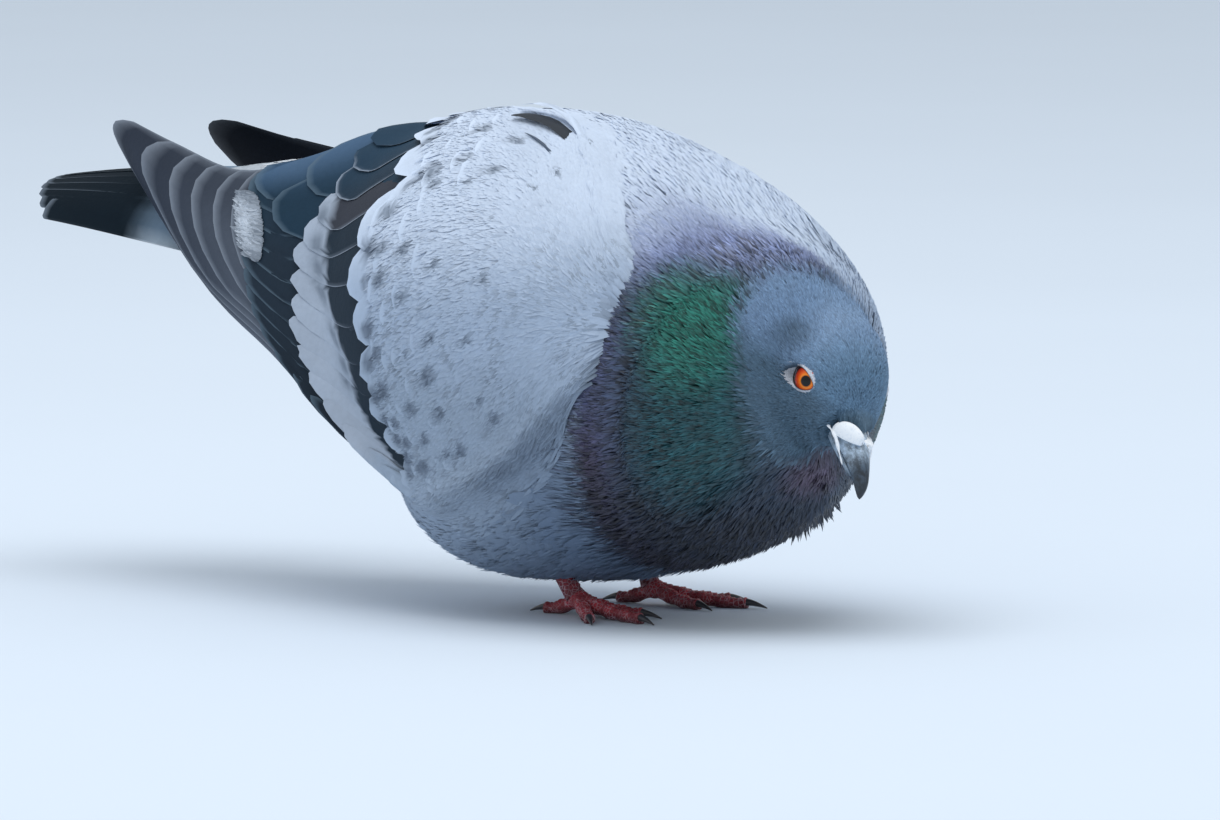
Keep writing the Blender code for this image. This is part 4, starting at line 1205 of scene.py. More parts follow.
# A point (s, t) lies across at 0.86 * half_width(s) * middle + (7.5 + 1.5 s) * t, back in proportion to s,
# and below the ridge by a roof that flattens towards the tip. Each feather lies under its inner neighbour.
tail_s = np.append(np.linspace(0, 0.85, 18), [0.9, 0.94, 0.97, 0.99, 1.0])
number, s_even, t = np.broadcast_arrays(np.arange(TAIL_FEATHERS)[:, None, None], tail_s[:, None], QUILL_T)
middle_of = (number + 0.5) / TAIL_FEATHERS * 2 - 1
end = 1 - 0.045 * np.abs(QUILL_T) ** 2.5 - 0.02 * np.abs(QUILL_T) ** 12
end = end + rng.normal(0, 0.002, (TAIL_FEATHERS, 1, len(QUILL_T)))
s = s_even * end
half_width = 17 + 9 * np.sqrt(s) - 4.8 * (1 - s) ** 3
x = half_width * middle_of * 0.86 + (7.5 + 1.5 * s) * t
share_across = np.clip(np.abs(x) / half_width, 0, 1.1)
tip_y = TAIL_TIP - 18 * middle_of**2
y = QUILL_START + s * (tip_y - QUILL_START)
rise = np.clip((y - TAIL_ROOT) / (TAIL_TIP - TAIL_ROOT), 0, 1)
roof = TAIL_ROOF[0] + (TAIL_ROOF[1] - TAIL_ROOF[0]) * rise
order_out = np.abs(number - 5.5) - 0.5
z = 106.1 - 2.5 * rise - 2.6 * rise**3 - roof * share_across**2.2 - 0.32 * order_out
z = z + 0.22 * t * -np.sign(middle_of) - 0.25 * t**2
colour = mix(TAIL_GREY, TAIL_DARK, smooth_step(y + 1.2 * np.sin(t * 5), *BAND_FROM))
colour = mix(colour, TAIL_RIM, rim_of(s_even, t, 0.03) * smooth_step(s, 0.5, 0.9) * 0.7)
outer_edge = (np.abs(middle_of) > 0.85) * smooth_step(np.sign(middle_of) * t, 0.7, 0.95)
colour = mix(colour, TAIL_WHITE, outer_edge * (1 - smooth_step(y, *WHITE_UNTIL)))
faces = grid_triangles(len(tail_s), len(QUILL_T))
tail = long_feathers("tail_feathers", np.stack([x, y, z], -1), colour, s_even, t, faces, tail_finish)
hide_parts("tail")


# ---------------------------------------------------------------- tail coverts
# Soft feathers that cover the quills of the tail above and below, whitish on the rump and grey beneath. Their
# roots are hidden in the body coat.


COVERT_WIDTH = 11.0


def tail_cover(name, turns, rings, close, colour, finish):
    """Vanes laid back over the tail in rings. Each ring gives (how far back it reaches, count, lift), where
    one more of reach is 8 rows further back and 14 mm longer. close says how steeply they run to the tail."""
    row, column, length, lift = [], [], [], []
    for reach_back, count, raised in rings:
        row.append(np.full(count, 20.0 - reach_back * 8))
        column.append(np.linspace(*turns, count) / 360 * COLUMNS + rng.normal(0, 0.5, count))
        length.append(20 + reach_back * 14 + rng.normal(0, 1.2, count))
        lift.append(np.full(count, raised))
    row, column, length, lift = (np.concatenate(part) for part in (row, column, length, lift))
    root = sample(BODY, row, column)
    normal = sample(BODY_NORMAL, row, column)
    back = unit(place(0, 1, 0.08) - normal * place(0.12, 0, close))
    tip = root + back * length[:, None] + normal * (lift - 1.0)[:, None]
    middle = root + back * (length * 0.5)[:, None] + normal * (0.6 + lift * 0.4)[:, None]
    line = root - normal * 1.5, middle, tip, unit(np.cross(normal, back)), normal
    shade = colour * varied(len(row), 1.0, 0.03)[:, None]
    width = varied(len(row), COVERT_WIDTH, 0.1)
    made = tongues(name, line, width, shade, 0.75, body_uv(row, column), finish)
    return made


covert_finish = plumage_material("tail_covert_vanes", 0.78, 0.05, 900)
rings = [(1.0, 11, 0.5), (0.6, 12, 0.6), (0.2, 13, 0.6), (-0.3, 14, 0.6)]
tail_cover("tail_coverts_upper", (-70, 70), rings, 0.25, mix(RUMP, TAIL_GREY, 0.35), covert_finish)
tail_cover("tail_coverts_under", (120, 240), rings[1:], 0.45, mix(FLANK, TAIL_GREY, 0.5), covert_finish)


# ---------------------------------------------------------------- scapulars
# Longer pale feathers at the shoulder that hang over the upper edge of each folded wing. One on the right has
# come loose: it stands up in an arch over a hollow, whose shade is painted as a dark feather beneath it.

SCAPULAR_HOLLOW_SHADOW = paint(34, 42, 52)


SCAPULARS, SCAPULAR_WIDTH = 7, 11.0  # how many in each of the two rows
ROOT_SUNK = 0.8
for side, sign in (("left", 1), ("right", -1)):
    count = 2 * SCAPULARS
    along = np.tile(np.linspace(0.14, 0.28, SCAPULARS), 2)
    across = np.repeat([0.0, -0.07], SCAPULARS) + rng.normal(0, 0.008, count)
    lift = 0.05 + rng.random(count) * 0.05
    length = 15 + 8 * along / 0.3
    line = wing_line(sign, along, across, length, 0.08 * length, np.full(count, ROOT_SUNK), lift + 0.1, lift)
    colour = body_colour(line[2]) * varied(count, 1.0, 0.015)[:, None]
    spot = np.stack([across + 0.2, along], -1)
    width = varied(count, SCAPULAR_WIDTH, 0.08)
    made = tongues(f"scapulars_{side}", line, width, colour, 0.95, spot, down_finish, 0.03)

# The hollow's painted shadow (a dark feather), the loose one over it (painted a little paler than the mantle,
# as a highlight), and a thin line of painted shadow below them: where each is rooted along and across, how
# far its tip lies ahead and below, how far its middle arches and its tip lifts, and its width.
along, across, ahead, down, arch, lift, width = np.array([
    (0.12, 0.09, 37.0, 4.44, 1.9, 1.8, 4.0),
    (0.12, 0.045, 37.0, 4.44, 3.5, 2.4, 3.2),
    (0.135, 0.20, 18.0, -1.08, 1.3, 1.2, 0.8),
]).T  # fmt: skip
line = wing_line(-1, along, across, ahead, down, np.full(3, ROOT_SUNK), arch, lift)
# Painted shadow and highlight: the hollow's shade, the loose feather's lit top, and a shadow line below them.
colour = np.stack([SCAPULAR_HOLLOW_SHADOW, MANTLE * 1.05, FLECK])
spot = np.array([[0.4, 0.4], [0.6, 0.4], [0.8, 0.4]])
loose = tongues("scapular_loose", line, width, colour, 1.0, spot, down_finish, 0.02)


# ---------------------------------------------------------------- eyes and lids
# Glossy balls set deep in the head, orange round a black pupil and redder outwards. Bare lids of pale grainy
# skin ring each one. They are widest behind, and the opening between them is a little narrower at its ends.

EYE_RADIUS = 5.0
EYE_SEAT = place(8.1, 6.15, 1.2)
LID_HALF = (4.1, 2.6)  # half length and half height of the opening between the lids
LID_AHEAD = -0.1  # how far the opening's middle lies ahead of the ball's
PUPIL_SHIFT = (2.2, 0.5)  # how far the pupil looks forward and up from the middle of the opening
PUPIL_EDGE = 0.27  # angle from the pupil's middle to its edge, in radians


def eye_axes(sign):
    """Seat, lengthwise, upward and outward directions of an eye, in the bird's measure."""
    seat = head_point(sign * EYE_SEAT[0], EYE_SEAT[1], EYE_SEAT[2])
    out = unit(head_point(sign * SOCKET[0], SOCKET[1], SOCKET[2]) - seat)
    forward = unit(HEAD_FORWARD * math.cos(SOCKET_TILT) + HEAD_UP * math.sin(SOCKET_TILT))
    forward = unit(forward - out * (forward @ out))
    high = np.cross(out, forward)
    return seat, forward, high * np.sign(high @ HEAD_UP), out


def polar_ball(centre, pole, side, radius, angles, turns):
    """Points of a ball in rings round its pole: centre + radius * (cos a * pole + sin a * (cos b, sin b))."""
    third = np.cross(pole, side)
    a, b = angles[:, None, None], turns[None, :, None]
    return centre + radius * (np.cos(a) * pole + np.sin(a) * (np.cos(b) * side + np.sin(b) * third))


def ring_faces(grid):
    """Faces for rings of points that wrap round."""
    return grid_triangles(grid.shape[0], grid.shape[1], True)


def turns_of(count):
    """Angles once round, without the last."""
    return np.linspace(0, 2 * np.pi, count, endpoint=False)


def set_ramp(ramp, stops):
    """Gives a colour ramp these stops of (position, colour), in order."""
    elements = ramp.color_ramp.elements
    for position, shade in stops[1:-1]:
        elements.new(position).color = (*shade, 1)
    for at, (position, shade) in ((0, stops[0]), (-1, stops[-1])):
        elements[at].position, elements[at].color = position, (*shade, 1)


iris, tree, shader = new_material(
    "iris_and_pupil", 0.25, Specular_IOR_Level=0.1, Coat_Weight=0.5, Coat_Roughness=0.02
)
# The ring ramp reads the angle from the pupil's middle. Past the pupil's clean edge, streaks shift it.
polar = add_node(tree, "Attribute", {"attribute_name": "polar"})
parts = add_node(tree, "SeparateXYZ", Vector=polar.outputs["Vector"])
streaks = add_node(tree, "TexNoise", Vector=polar.outputs["Vector"], Scale=3.0, Detail=5.0, Roughness=0.7)
shift = add_node(tree, "MapRange", i0=streaks.outputs["Fac"], i3=-0.035, i4=0.035)
ringed = add_node(tree, "Math", {"operation": "ADD"}, i0=parts.outputs[2], i1=shift.outputs[0])
clean = add_node(tree, "MapRange", i0=parts.outputs[2], i1=PUPIL_EDGE, i2=PUPIL_EDGE + 0.05)
amount = add_node(
    tree, "Mix", {"data_type": "FLOAT"}, i0=clean.outputs[0], i2=parts.outputs[2], i3=ringed.outputs[0]
)
ramp = add_node(tree, "ValToRGB", Fac=amount.outputs[0])
stops = [
    (PUPIL_EDGE - 0.012, (0.001, 0.001, 0.001)), (PUPIL_EDGE + 0.012, (0.50, 0.12, 0.01)),
    (PUPIL_EDGE + 0.06, (0.88, 0.24, 0.015)), (0.44, (0.78, 0.12, 0.008)), (0.56, (0.60, 0.055, 0.006)),
    (0.72, (0.36, 0.022, 0.005)), (0.84, (0.04, 0.008, 0.006)),
]  # fmt: skip
set_ramp(ramp, stops)
tree.links.new(ramp.outputs["Color"], shader.inputs["Base Color"])

lid_skin, tree, shader = new_material("lid_skin", 0.6)
coordinates = add_node(tree, "TexCoord")
own = add_node(tree, "Attribute", {"attribute_name": "plumage"})
grains = add_node(tree, "TexVoronoi", Vector=coordinates.outputs["Object"], Scale=2600.0)
grain_value = add_node(tree, "MapRange", i0=grains.outputs["Distance"], i1=0.0, i2=0.8, i3=1.12, i4=0.7)
tree.links.new(shaded(tree, own.outputs["Color"], grain_value.outputs[0]), shader.inputs["Base Color"])
roughen(tree, shader, grains.outputs["Distance"], 0.6, 0.0002, True)

LID_PALE = paint(208, 213, 224)
LID_PAINTED_SHADE = paint(38, 30, 34)
LID_WIDTH, LID_WIDER_BEHIND, LID_SWELL = 1.9, 0.9, 0.45  # how broad the bare ring is, and how far it swells
STREAKS_ROUND = 5.0  # how many times finer the iris's streaks are round the pupil than outwards
# A lid's point (q, phi) lies on an oval that grows with q, from inside the opening to under the feathers. Its
# height runs from the ball's to the head's and swells between them, with wrinkles as sines of q and phi.
for side, sign in (("left", 1), ("right", -1)):
    seat, ahead, high, out = eye_axes(sign)
    gaze = unit(out * EYE_RADIUS + ahead * PUPIL_SHIFT[0] + high * PUPIL_SHIFT[1])
    angles = np.concatenate([np.linspace(0, 1.0, 41), np.linspace(1.0, np.pi, 16)[1:]])
    turns = turns_of(64)
    ring_side = unit(np.cross(gaze, high))
    ball = polar_ball(seat, gaze, ring_side, EYE_RADIUS, angles, turns)
    eye = add_mesh(f"eyeball_{side}", ball.reshape(-1, 3), ring_faces(ball), iris)
    round_pupil = np.cos(turns) * STREAKS_ROUND, np.sin(turns) * STREAKS_ROUND
    polar_values = np.stack(np.broadcast_arrays(*round_pupil, angles[:, None]), -1)
    layer = eye.data.attributes.new("polar", "FLOAT_VECTOR", "POINT")
    layer.data.foreach_set("vector", polar_values.astype(np.float32).ravel())
    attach(eye, "root")
    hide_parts(f"eye_{side}")

    q, phi = np.meshgrid(np.linspace(0, 1, 15), turns_of(96), indexing="ij")
    behind = smooth_step(-np.cos(phi + 0.45), 0.1, 1.0)
    margin = LID_WIDTH + LID_WIDER_BEHIND * behind
    grow = (q - 0.10) * margin
    almond = 1 - 0.12 * np.cos(phi) ** 2
    along = LID_AHEAD + (LID_HALF[0] + grow) * np.cos(phi)
    tall = (LID_HALF[1] * almond + grow) * np.sin(phi)
    flat_start = seat + along[..., None] * ahead + tall[..., None] * high
    skin_height = reach(flat_start, np.broadcast_to(out, flat_start.shape), 14.0, 57) - 0.55
    ball_height = np.sqrt(np.maximum(EYE_RADIUS**2 - along**2 - tall**2, 0.5))
    height = ball_height + 0.05 + (skin_height - ball_height) * smooth_step(q, 0.1, 0.45)
    height = height + LID_SWELL * np.sin(np.pi * np.clip(q / 0.6, 0, 1)) ** 0.8 * (1 + 0.3 * behind)
    height = height - 1.0 * smooth_step(q, 0.55, 1.0)
    height = np.maximum(height, ball_height + 0.05 * (q > 0.1) - 0.5 * (q < 0.1))
    wrinkles = 0.05 * np.sin(phi * 23 + q * 9) * np.sin(q * np.pi) + 0.05 * np.sin(phi * 11 - q * 17)
    lid_points = flat_start + (height + wrinkles * smooth_step(q, 0.2, 0.5))[..., None] * out
    faces = ring_faces(lid_points)[:, ::-sign]
    lids = add_mesh(f"lids_{side}", lid_points.reshape(-1, 3), faces, lid_skin)
    # Painted shade: dark where the lid meets the ball, and dimmed to 0.55 where it runs under the feathers.
    shade = mix(LID_PAINTED_SHADE, LID_PALE, smooth_step(q, 0.10, 0.16))
    set_colours(lids, mix(shade, LID_PALE * 0.55, smooth_step(q, 0.5, 0.8) * 0.8))
    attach(lids, "root")


# ---------------------------------------------------------------- bill
# Two slim halves of dark horn. The upper one hooks down over the lower at the tip, and both are flaked pale
# where they leave the cere and the feathers.

root = BILL_ROOT - 2.5  # the horn starts inside the feathers
# forward, height of the gape line, half width, height above it
UPPER_BILL = [
    (root, -2.2, 4.9, 4.4), (BILL_ROOT, -2.4, 4.6, 4.7), (22, -2.8, 4.2, 4.8), (26, -3.2, 3.3, 4.9),
    (28.9, -3.5, 2.7, 4.6), (31.9, -4.1, 2.1, 3.9), (34.8, -5.2, 1.4, 3.4), (36.2, -5.9, 0.8, 2.3),
    (36.8, -6.4, 0.05, 0.6),
]  # fmt: skip
LOWER_BILL = [
    (root, -3.0, 4.4, 3.8), (BILL_ROOT, -3.3, 4.2, 3.6), (22, -3.7, 3.6, 3.2), (26, -4.1, 2.9, 2.4),
    (30, -4.5, 2.1, 1.6), (33, -5.2, 0.05, 0.1),
]  # fmt: skip


def bill_surface(stations, top, bottom, rows_along=44, round_it=40, squareness=0.85):
    """Rings round the bill. A ring point at angle a is (width * sin a, gape + height * cos a), softly squared
    by raising sine and cosine to a power, narrower above, with its own heights above and below the gape."""
    forward, gape, half_width, height = smooth_line(stations, np.linspace(0, 1, rows_along)).T[..., None]
    c, s = np.cos(turns_of(round_it)), np.sin(turns_of(round_it))
    power = np.where(c > 0, 1.0, squareness)
    rise = np.sign(c) * np.abs(c) ** power * np.where(c > 0, top(height), bottom(height))
    sideways = half_width * np.sign(s) * np.abs(s) ** squareness
    sideways = sideways * np.where(c > 0, 1 - 0.18 * c**2, 1.0)
    local = np.stack(np.broadcast_arrays(sideways, -forward, gape + rise), -1)
    return HEAD_CENTRE + local @ HEAD_AXES


horn, tree, shader = new_material("horn", 0.38, Coat_Weight=0.15)
coordinates = add_node(tree, "TexCoord")
own = add_node(tree, "Attribute", {"attribute_name": "plumage"})
along_bill = add_node(tree, "Mapping", Vector=coordinates.outputs["Object"], Scale=(1.0, 0.35, 0.35))
flakes = add_node(tree, "TexNoise", Vector=along_bill.outputs[0], Scale=1000.0, Detail=6.0, Roughness=0.7)
flake_value = add_node(tree, "MapRange", i0=flakes.outputs["Fac"], i1=0.40, i2=0.64, i3=0.4, i4=1.7)
tree.links.new(shaded(tree, own.outputs["Color"], flake_value.outputs[0]), shader.inputs["Base Color"])
roughen(tree, shader, flakes.outputs["Fac"], 0.4, 0.0002)

HORN_DARK = paint(60, 77, 94)
HORN_TIP = paint(26, 33, 42)
HORN_PALE = paint(168, 186, 204)
for half, stations, top, bottom in (
    ("upper", UPPER_BILL, lambda h: h, lambda h: np.minimum(0.45, h * 0.2)),
    ("lower", LOWER_BILL, lambda h: np.minimum(0.2, h * 0.1), lambda h: h),
):
    grid = bill_surface(stations, top, bottom)
    grid[-1] = grid[-1].mean(0)
    bill = add_mesh(f"bill_{half}_horn", grid.reshape(-1, 3), ring_faces(grid), horn)
    forward = head_measure(grid)[..., 1]
    shade = mix(HORN_DARK, HORN_TIP, smooth_step(forward, 30, 37))
    shade = mix(shade, HORN_PALE, smooth_step(-forward, -32, -27) * 0.7)
    set_colours(bill, shade)
    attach(bill, "root")
    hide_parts(f"bill_{half}")


# ---------------------------------------------------------------- cere and gape
# The cere is two swollen lobes of soft, powdery white skin that meet over the root of the bill. A thin pale
# edge of the same skin runs from behind it along the corner of the mouth.

powder, tree, shader = new_material("powdered_skin", 0.85)
coordinates = add_node(tree, "TexCoord")
grains = add_node(tree, "TexNoise", Vector=coordinates.outputs["Object"], Scale=1300.0, Detail=5.0)
specks = add_node(tree, "ValToRGB", Fac=grains.outputs["Fac"])
set_ramp(specks, [(0.28, paint(224, 232, 242)), (0.5, paint(243, 247, 252))])
tree.links.new(specks.outputs["Color"], shader.inputs["Base Color"])
roughen(tree, shader, grains.outputs["Fac"], 0.5, 0.0003)

CERE_BACK = (4.8, 18.8, -2.0)  # ends of a lobe's middle line: sideways, forward and up
CERE_FRONT = (0.9, 26.2, 1.9)
CERE_HALF_WIDTH, CERE_ABOVE, CERE_BELOW = 2.0, 0.9, 3.6  # sizes of a lobe from its middle line

# Each lobe is an egg with its poles at the ends of its middle line. At angle a from the back and b round it,
# a point lies -cos a * length/2 along and about sin a * size out: sharp behind, blunt in front and uneven.
lobes = []
lobe_faces = []
for sign in (1, -1):
    back, front = (head_point(sign * left, forward, up) for left, forward, up in (CERE_BACK, CERE_FRONT))
    length = np.linalg.norm(front - back)
    long_way = (front - back) / length
    outward = unit(np.cross(long_way, HEAD_UP) * -sign)
    top_way = np.cross(outward, -long_way)
    a = np.linspace(0, np.pi, 33)[:, None, None]
    b = turns_of(48)[:, None]
    fullness = 1 + 0.10 * np.cos(a) - 0.04 * np.sin(3 * a + b) - 0.03 * np.cos(2 * b + 4 * a)
    share = (1 - np.cos(a)) / 2
    full = np.sin(a) ** (1.1 - 0.65 * share) * fullness
    wide = CERE_HALF_WIDTH * full
    tall = np.where(np.sin(b) > 0, CERE_ABOVE * np.sqrt(share), CERE_BELOW) * full
    lobe = (back + front) / 2 - np.cos(a) * length / 2 * long_way
    lobe = lobe + wide * np.cos(b) * outward + tall * np.sin(b) * top_way
    faces = ring_faces(lobe)
    lobe_faces.append((faces if sign > 0 else faces[:, ::-1]) + len(lobes) * lobe[..., 0].size)
    lobes.append(lobe.reshape(-1, 3))
cere = add_mesh("cere_lobes", np.concatenate(lobes), np.concatenate(lobe_faces), powder)
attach(cere, "root")
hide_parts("cere")


# The forehead's feathers run down between the lobes in a point, and lap over their upper edges. Their roots
# lie within a half width of the middle line, at a height that follows the skull and falls to its sides.
POINT_COUNT, POINT_LENGTH, POINT_WIDTH = 1500, 2.4, 0.5
POINT_FROM, POINT_TO = 16.5, 22.8  # how far forward it starts and ends
count = POINT_COUNT
forward = POINT_FROM + (POINT_TO - POINT_FROM) * rng.random(count)
half = np.interp(forward, [POINT_FROM, 19.5, POINT_TO], [6.0, 5.2, 0.6])
sideways = half * (rng.random(count) * 2 - 1)
up = np.interp(forward, [16, 17, 18, 19, 20.5, 23], [6.3, 5.4, 4.6, 4.0, 3.4, 2.9]) - 0.085 * sideways**2
root = HEAD_CENTRE + np.stack([sideways, -forward, up], -1) @ HEAD_AXES
steep = np.interp(forward, [POINT_FROM, 18, 20, POINT_TO], [1.0, 0.8, 0.4, 0.2])[:, None]
back = unit(HEAD_UP * steep - HEAD_FORWARD + rng.normal(0, 0.08, (count, 1)) * HEAD_AXES[0])
length = varied(count, POINT_LENGTH, 0.15)[:, None]
tip = root + back * length + HEAD_UP * 0.1
middle = root + back * length / 2 + HEAD_UP * 0.15
line = root - HEAD_UP * 0.3, middle, tip, unit(np.cross(HEAD_UP, back)), np.broadcast_to(HEAD_UP, root.shape)
# Painted shade: the point darkens to the cheek's grey towards its front, in the groove between the lobes.
colour = mix(CHEEK, FOREHEAD, smooth_step(-forward, -22, -16)) * varied(count, 0.95, 0.1)[:, None]
spot = np.stack([0.5 + sideways / 40, 0.95 + (forward - 15.5) / 400], -1)
point = blades("forehead_point", line, varied(count, POINT_WIDTH, 0.15), colour, 0.7, spot, head_finish)


def rod_along(path, radii, round_it=12, bulge=None):
    """Rings round a path: path(k) + radius * (cos b * n1 + sin b * n2), with both ends closed to a point.
    bulge adds to the radius as a function of the share along the path and of the way outwards."""
    path = np.asarray(path, float)
    way = unit(np.gradient(path, axis=0))
    first = np.cross(way[0], place(0.13, 0.21, 0.97))
    frames = []
    for step in way:  # each frame turns the last one just enough to stay square to the path
        first = unit(first - step * (first @ step))
        frames.append((first, np.cross(step, first)))
    n1, n2 = (np.array(side)[:, None] for side in zip(*frames))
    b = turns_of(round_it)[:, None]
    around = np.cos(b) * n1 + np.sin(b) * n2
    size = np.asarray(radii, float)[:, None]
    if bulge is not None:
        size = size + bulge(np.linspace(0, 1, len(path))[:, None], around)
    rings = path[:, None] + around * size[..., None]
    ends = np.broadcast_to(path[0], rings[:1].shape), np.broadcast_to(path[-1], rings[:1].shape)
    return np.concatenate([ends[0], rings, ends[1]])


gape_points, gape_faces = [], []
for sign in (1, -1):
    stations = [head_point(sign * w, f, u) for w, f, u in (
        (7.6, 11.4, -1.4), (7.0, 13.2, -2.0), (6.3, 15.2, -2.2), (5.8, 18.5, -1.8), (5.3, 21.8, -1.5),
        (4.6, 26.0, -2.9), (3.9, 28.4, -4.0))]
    share = np.linspace(0, 1, 40)
    path = smooth_line(stations, share)
    thick = 0.42 + 0.16 * np.sin(share * 19 + 1) + 0.1 * np.sin(share * 43)
    rings = rod_along(path, thick * np.sin(np.pi * np.clip(share * 0.9 + 0.08, 0, 1)) ** 0.5)
    gape_faces.append(ring_faces(rings) + len(gape_points) * rings[..., 0].size)
    gape_points.append(rings.reshape(-1, 3))
gape = add_mesh("gape_edge", np.concatenate(gape_points), np.concatenate(gape_faces), powder)
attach(gape, "root")


# ---------------------------------------------------------------- legs, feet and claws
# Bare red skin in scales: broad plates down the front of the shank and the top of each toe, small beads over
# all, and plump pads beneath. Pale dust sits in the creases. Each toe ends in a dark curved claw.

SHANK_RADIUS, TOE_RADIUS, CLAW_RADIUS = 2.1, 1.75, 0.95
KNUCKLE = place(2.7, 2.9, 2.5)
FEET = {"left": place(20.8, -2.5, 0), "right": place(-12.2, -7.5, 0)}
ANKLES = {"left": place(21.8, 8.5, 23), "right": place(-13.2, 11.5, 23)}
TURNED_OUT = {"left": 16, "right": 6}  # degrees
TOES = {"inner": (17, -24), "middle": (25, 4), "outer": (19, 34), "hind": (11, 172)}  # length, degrees out
SHANK_PLATES, SHANK_PLATE_DEPTH, TOE_PLATE_LENGTH, TOE_PLATE_DEPTH, PAD_LENGTH = 13, 0.42, 1.7, 0.34, 6.0
FLOOR_CLEARANCE = 0.02
CLAW_LENGTH, TOE_START, FOOT_RISE = 5.5, 0.8, 2.6

LEG_RED = paint(168, 56, 66)
LEG_PAINTED_SHADE = paint(104, 34, 44)
LEG_DUST = paint(206, 176, 186)

scale_skin, tree, shader = new_material("scaled_skin", 0.55)
coordinates = add_node(tree, "TexCoord")
own = add_node(tree, "Attribute", {"attribute_name": "plumage"})
beads = add_node(
    tree, "TexVoronoi", {"feature": "DISTANCE_TO_EDGE"}, Vector=coordinates.outputs["Object"], Scale=950.0
)
crease = add_node(tree, "MapRange", i0=beads.outputs["Distance"], i1=0.02, i2=0.12)
blotch = add_node(tree, "TexNoise", Vector=coordinates.outputs["Object"], Scale=260.0, Detail=3.0)
dusty = add_node(tree, "MapRange", i0=blotch.outputs["Fac"], i1=0.45, i2=0.6, i3=0.15, i4=0.75)
covered = add_node(tree, "Math", {"operation": "SUBTRACT"}, i0=1.0, i1=crease.outputs[0])
dust = add_node(tree, "Math", {"operation": "MULTIPLY"}, i0=covered.outputs[0], i1=dusty.outputs[0])
worn = add_node(tree, "MapRange", i0=blotch.outputs["Fac"], i1=0.3, i2=0.7, i3=0.7, i4=1.3)
reds = shaded(tree, own.outputs["Color"], worn.outputs[0])
dusted = add_node(tree, "Mix", {"data_type": "RGBA"}, i0=dust.outputs[0], i6=reds, i7=(*LEG_DUST, 1))
tree.links.new(dusted.outputs[2], shader.inputs["Base Color"])
roughen(tree, shader, crease.outputs[0], 0.7, 0.0003)

claw_horn, tree, shader = new_material("claw_horn", 0.35)
coordinates = add_node(tree, "TexCoord")
streaks = add_node(tree, "TexNoise", Vector=coordinates.outputs["Object"], Scale=900.0, Detail=4.0)
streak_tint = add_node(tree, "ValToRGB", Fac=streaks.outputs["Fac"])
set_ramp(streak_tint, [(0, (0.012, 0.012, 0.015)), (1, (0.06, 0.06, 0.07))])
tree.links.new(streak_tint.outputs["Color"], shader.inputs["Base Color"])


def scutes(plates, depth, facing):
    """Overlapping plates on the side that faces the given way: depth * (tooth - 0.5) there, where the tooth
    rises from 0 to 1 along each plate, and level behind."""
    return lambda share, around: depth * (share * plates % 1 - 0.5) * smooth_step(around @ facing, 0.1, 0.6)


def toe_line(ball_of_foot, length, heading, sign, count):
    """Centre line of a toe that leaves the raised ball of the foot and comes down to lie on its pads."""
    angle = math.radians(heading)
    ahead = place(sign * math.sin(angle), -math.cos(angle), 0)
    share = np.linspace(0, 1, count)[:, None]
    height = TOE_RADIUS - 0.3 + FOOT_RISE * (1 - share) ** 2 - 0.25 * share
    return ball_of_foot + (TOE_START + share * (length - TOE_START)) * ahead + height * place(0, 0, 1), ahead


def join(parts_made):
    """One set of points and faces from several closed ring grids."""
    points, faces, count = [], [], 0
    for grid in parts_made:
        faces.append(ring_faces(grid) + count)
        points.append(grid.reshape(-1, 3))
        count += grid[..., 0].size
    return np.concatenate(points), np.concatenate(faces)


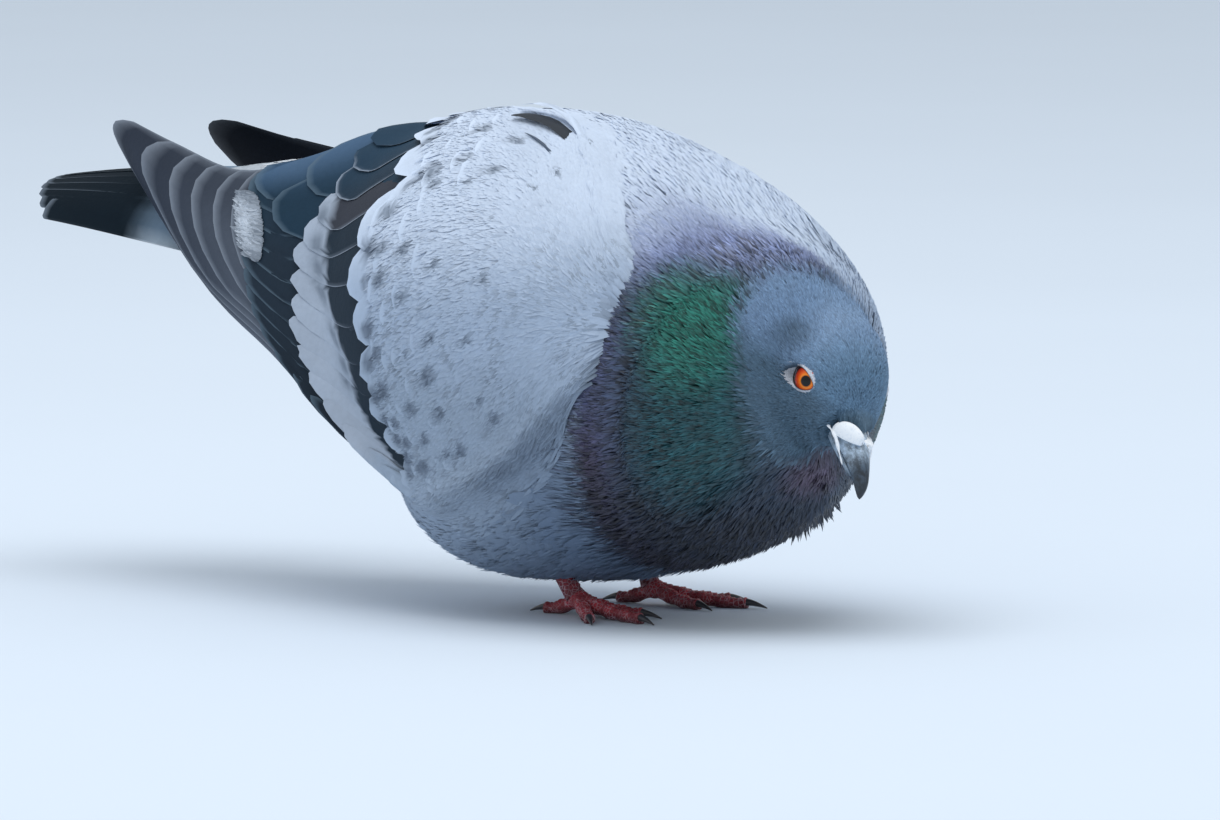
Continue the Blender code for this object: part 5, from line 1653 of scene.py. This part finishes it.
for side, sign in (("left", 1), ("right", -1)):
    ankle, top = ANKLES[side] + place(0, 0, 4), FEET[side] + place(0, 1.4, FOOT_RISE + 2.0)
    share = np.linspace(0, 1, 110)
    width = SHANK_RADIUS + 0.5 * (2 * share - 1) ** 2
    plates = scutes(SHANK_PLATES, SHANK_PLATE_DEPTH, unit(place(-0.2 * sign, -1, 0.3)))
    points, faces = join([rod_along(ankle + share[:, None] * (top - ankle), width, 28, plates)])
    leg = add_mesh(f"shank_{side}", points, faces, scale_skin)
    # Painted shade: the shank darkens towards the foot and the floor.
    set_colours(leg, mix(LEG_PAINTED_SHADE, LEG_RED, smooth_step(points[:, 2], 4, 14)))
    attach(leg, "root")
    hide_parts(f"leg_{side}")

    knuckle_centre = FEET[side] + place(0, 0, FOOT_RISE + 1.4)
    angles, turns = np.meshgrid(np.linspace(0, np.pi, 17), turns_of(24), indexing="ij")
    egg = np.stack([np.sin(angles) * np.cos(turns), np.sin(angles) * np.sin(turns), np.cos(angles)], -1)
    grids = [knuckle_centre + egg * KNUCKLE]
    for toe, (length, heading) in TOES.items():
        line_out, ahead = toe_line(FEET[side], length, heading + TURNED_OUT[side], sign, 70)
        share = np.linspace(0, 1, 70)
        pads = 0.16 * np.cos(share * 2 * np.pi * round(length / PAD_LENGTH)) * smooth_step(share, 0.1, 0.3)
        radii = TOE_RADIUS + 0.2 - 0.55 * share + pads
        plates = scutes(round(length / TOE_PLATE_LENGTH), TOE_PLATE_DEPTH, place(0, 0, 1))
        grids.append(rod_along(line_out, radii, 20, plates))
        share = np.linspace(0, 1, 24)[:, None]
        tip = line_out[-1]
        rise_of = 0.45 - (tip[2] + 0.45 - CLAW_RADIUS * 0.3) * share**1.6
        claw_line = tip + (share * (CLAW_LENGTH + 0.3) - 0.3) * ahead + rise_of * place(0, 0, 1)
        claw_grid = rod_along(claw_line, CLAW_RADIUS * (1 - 0.85 * share[:, 0] ** 1.2), 14)
        claw_grid[..., 2] = np.maximum(claw_grid[..., 2], FLOOR_CLEARANCE)
        claw_points, claw_faces = join([claw_grid])
        claw = add_mesh(f"talon_{toe}_{side}", claw_points, claw_faces, claw_horn)
        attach(claw, "root")
        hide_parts(f"claw_{toe}_{side}")
    points, faces = join(grids)
    points[:, 2] = np.maximum(points[:, 2], FLOOR_CLEARANCE)
    foot = add_mesh(f"toes_{side}", points, faces, scale_skin)
    # Painted shade: the toes darken where they come near the floor.
    set_colours(foot, mix(LEG_PAINTED_SHADE * 0.8, LEG_RED, smooth_step(points[:, 2], 0.2, 3.5)))
    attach(foot, "root")
    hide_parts(f"foot_{side}")
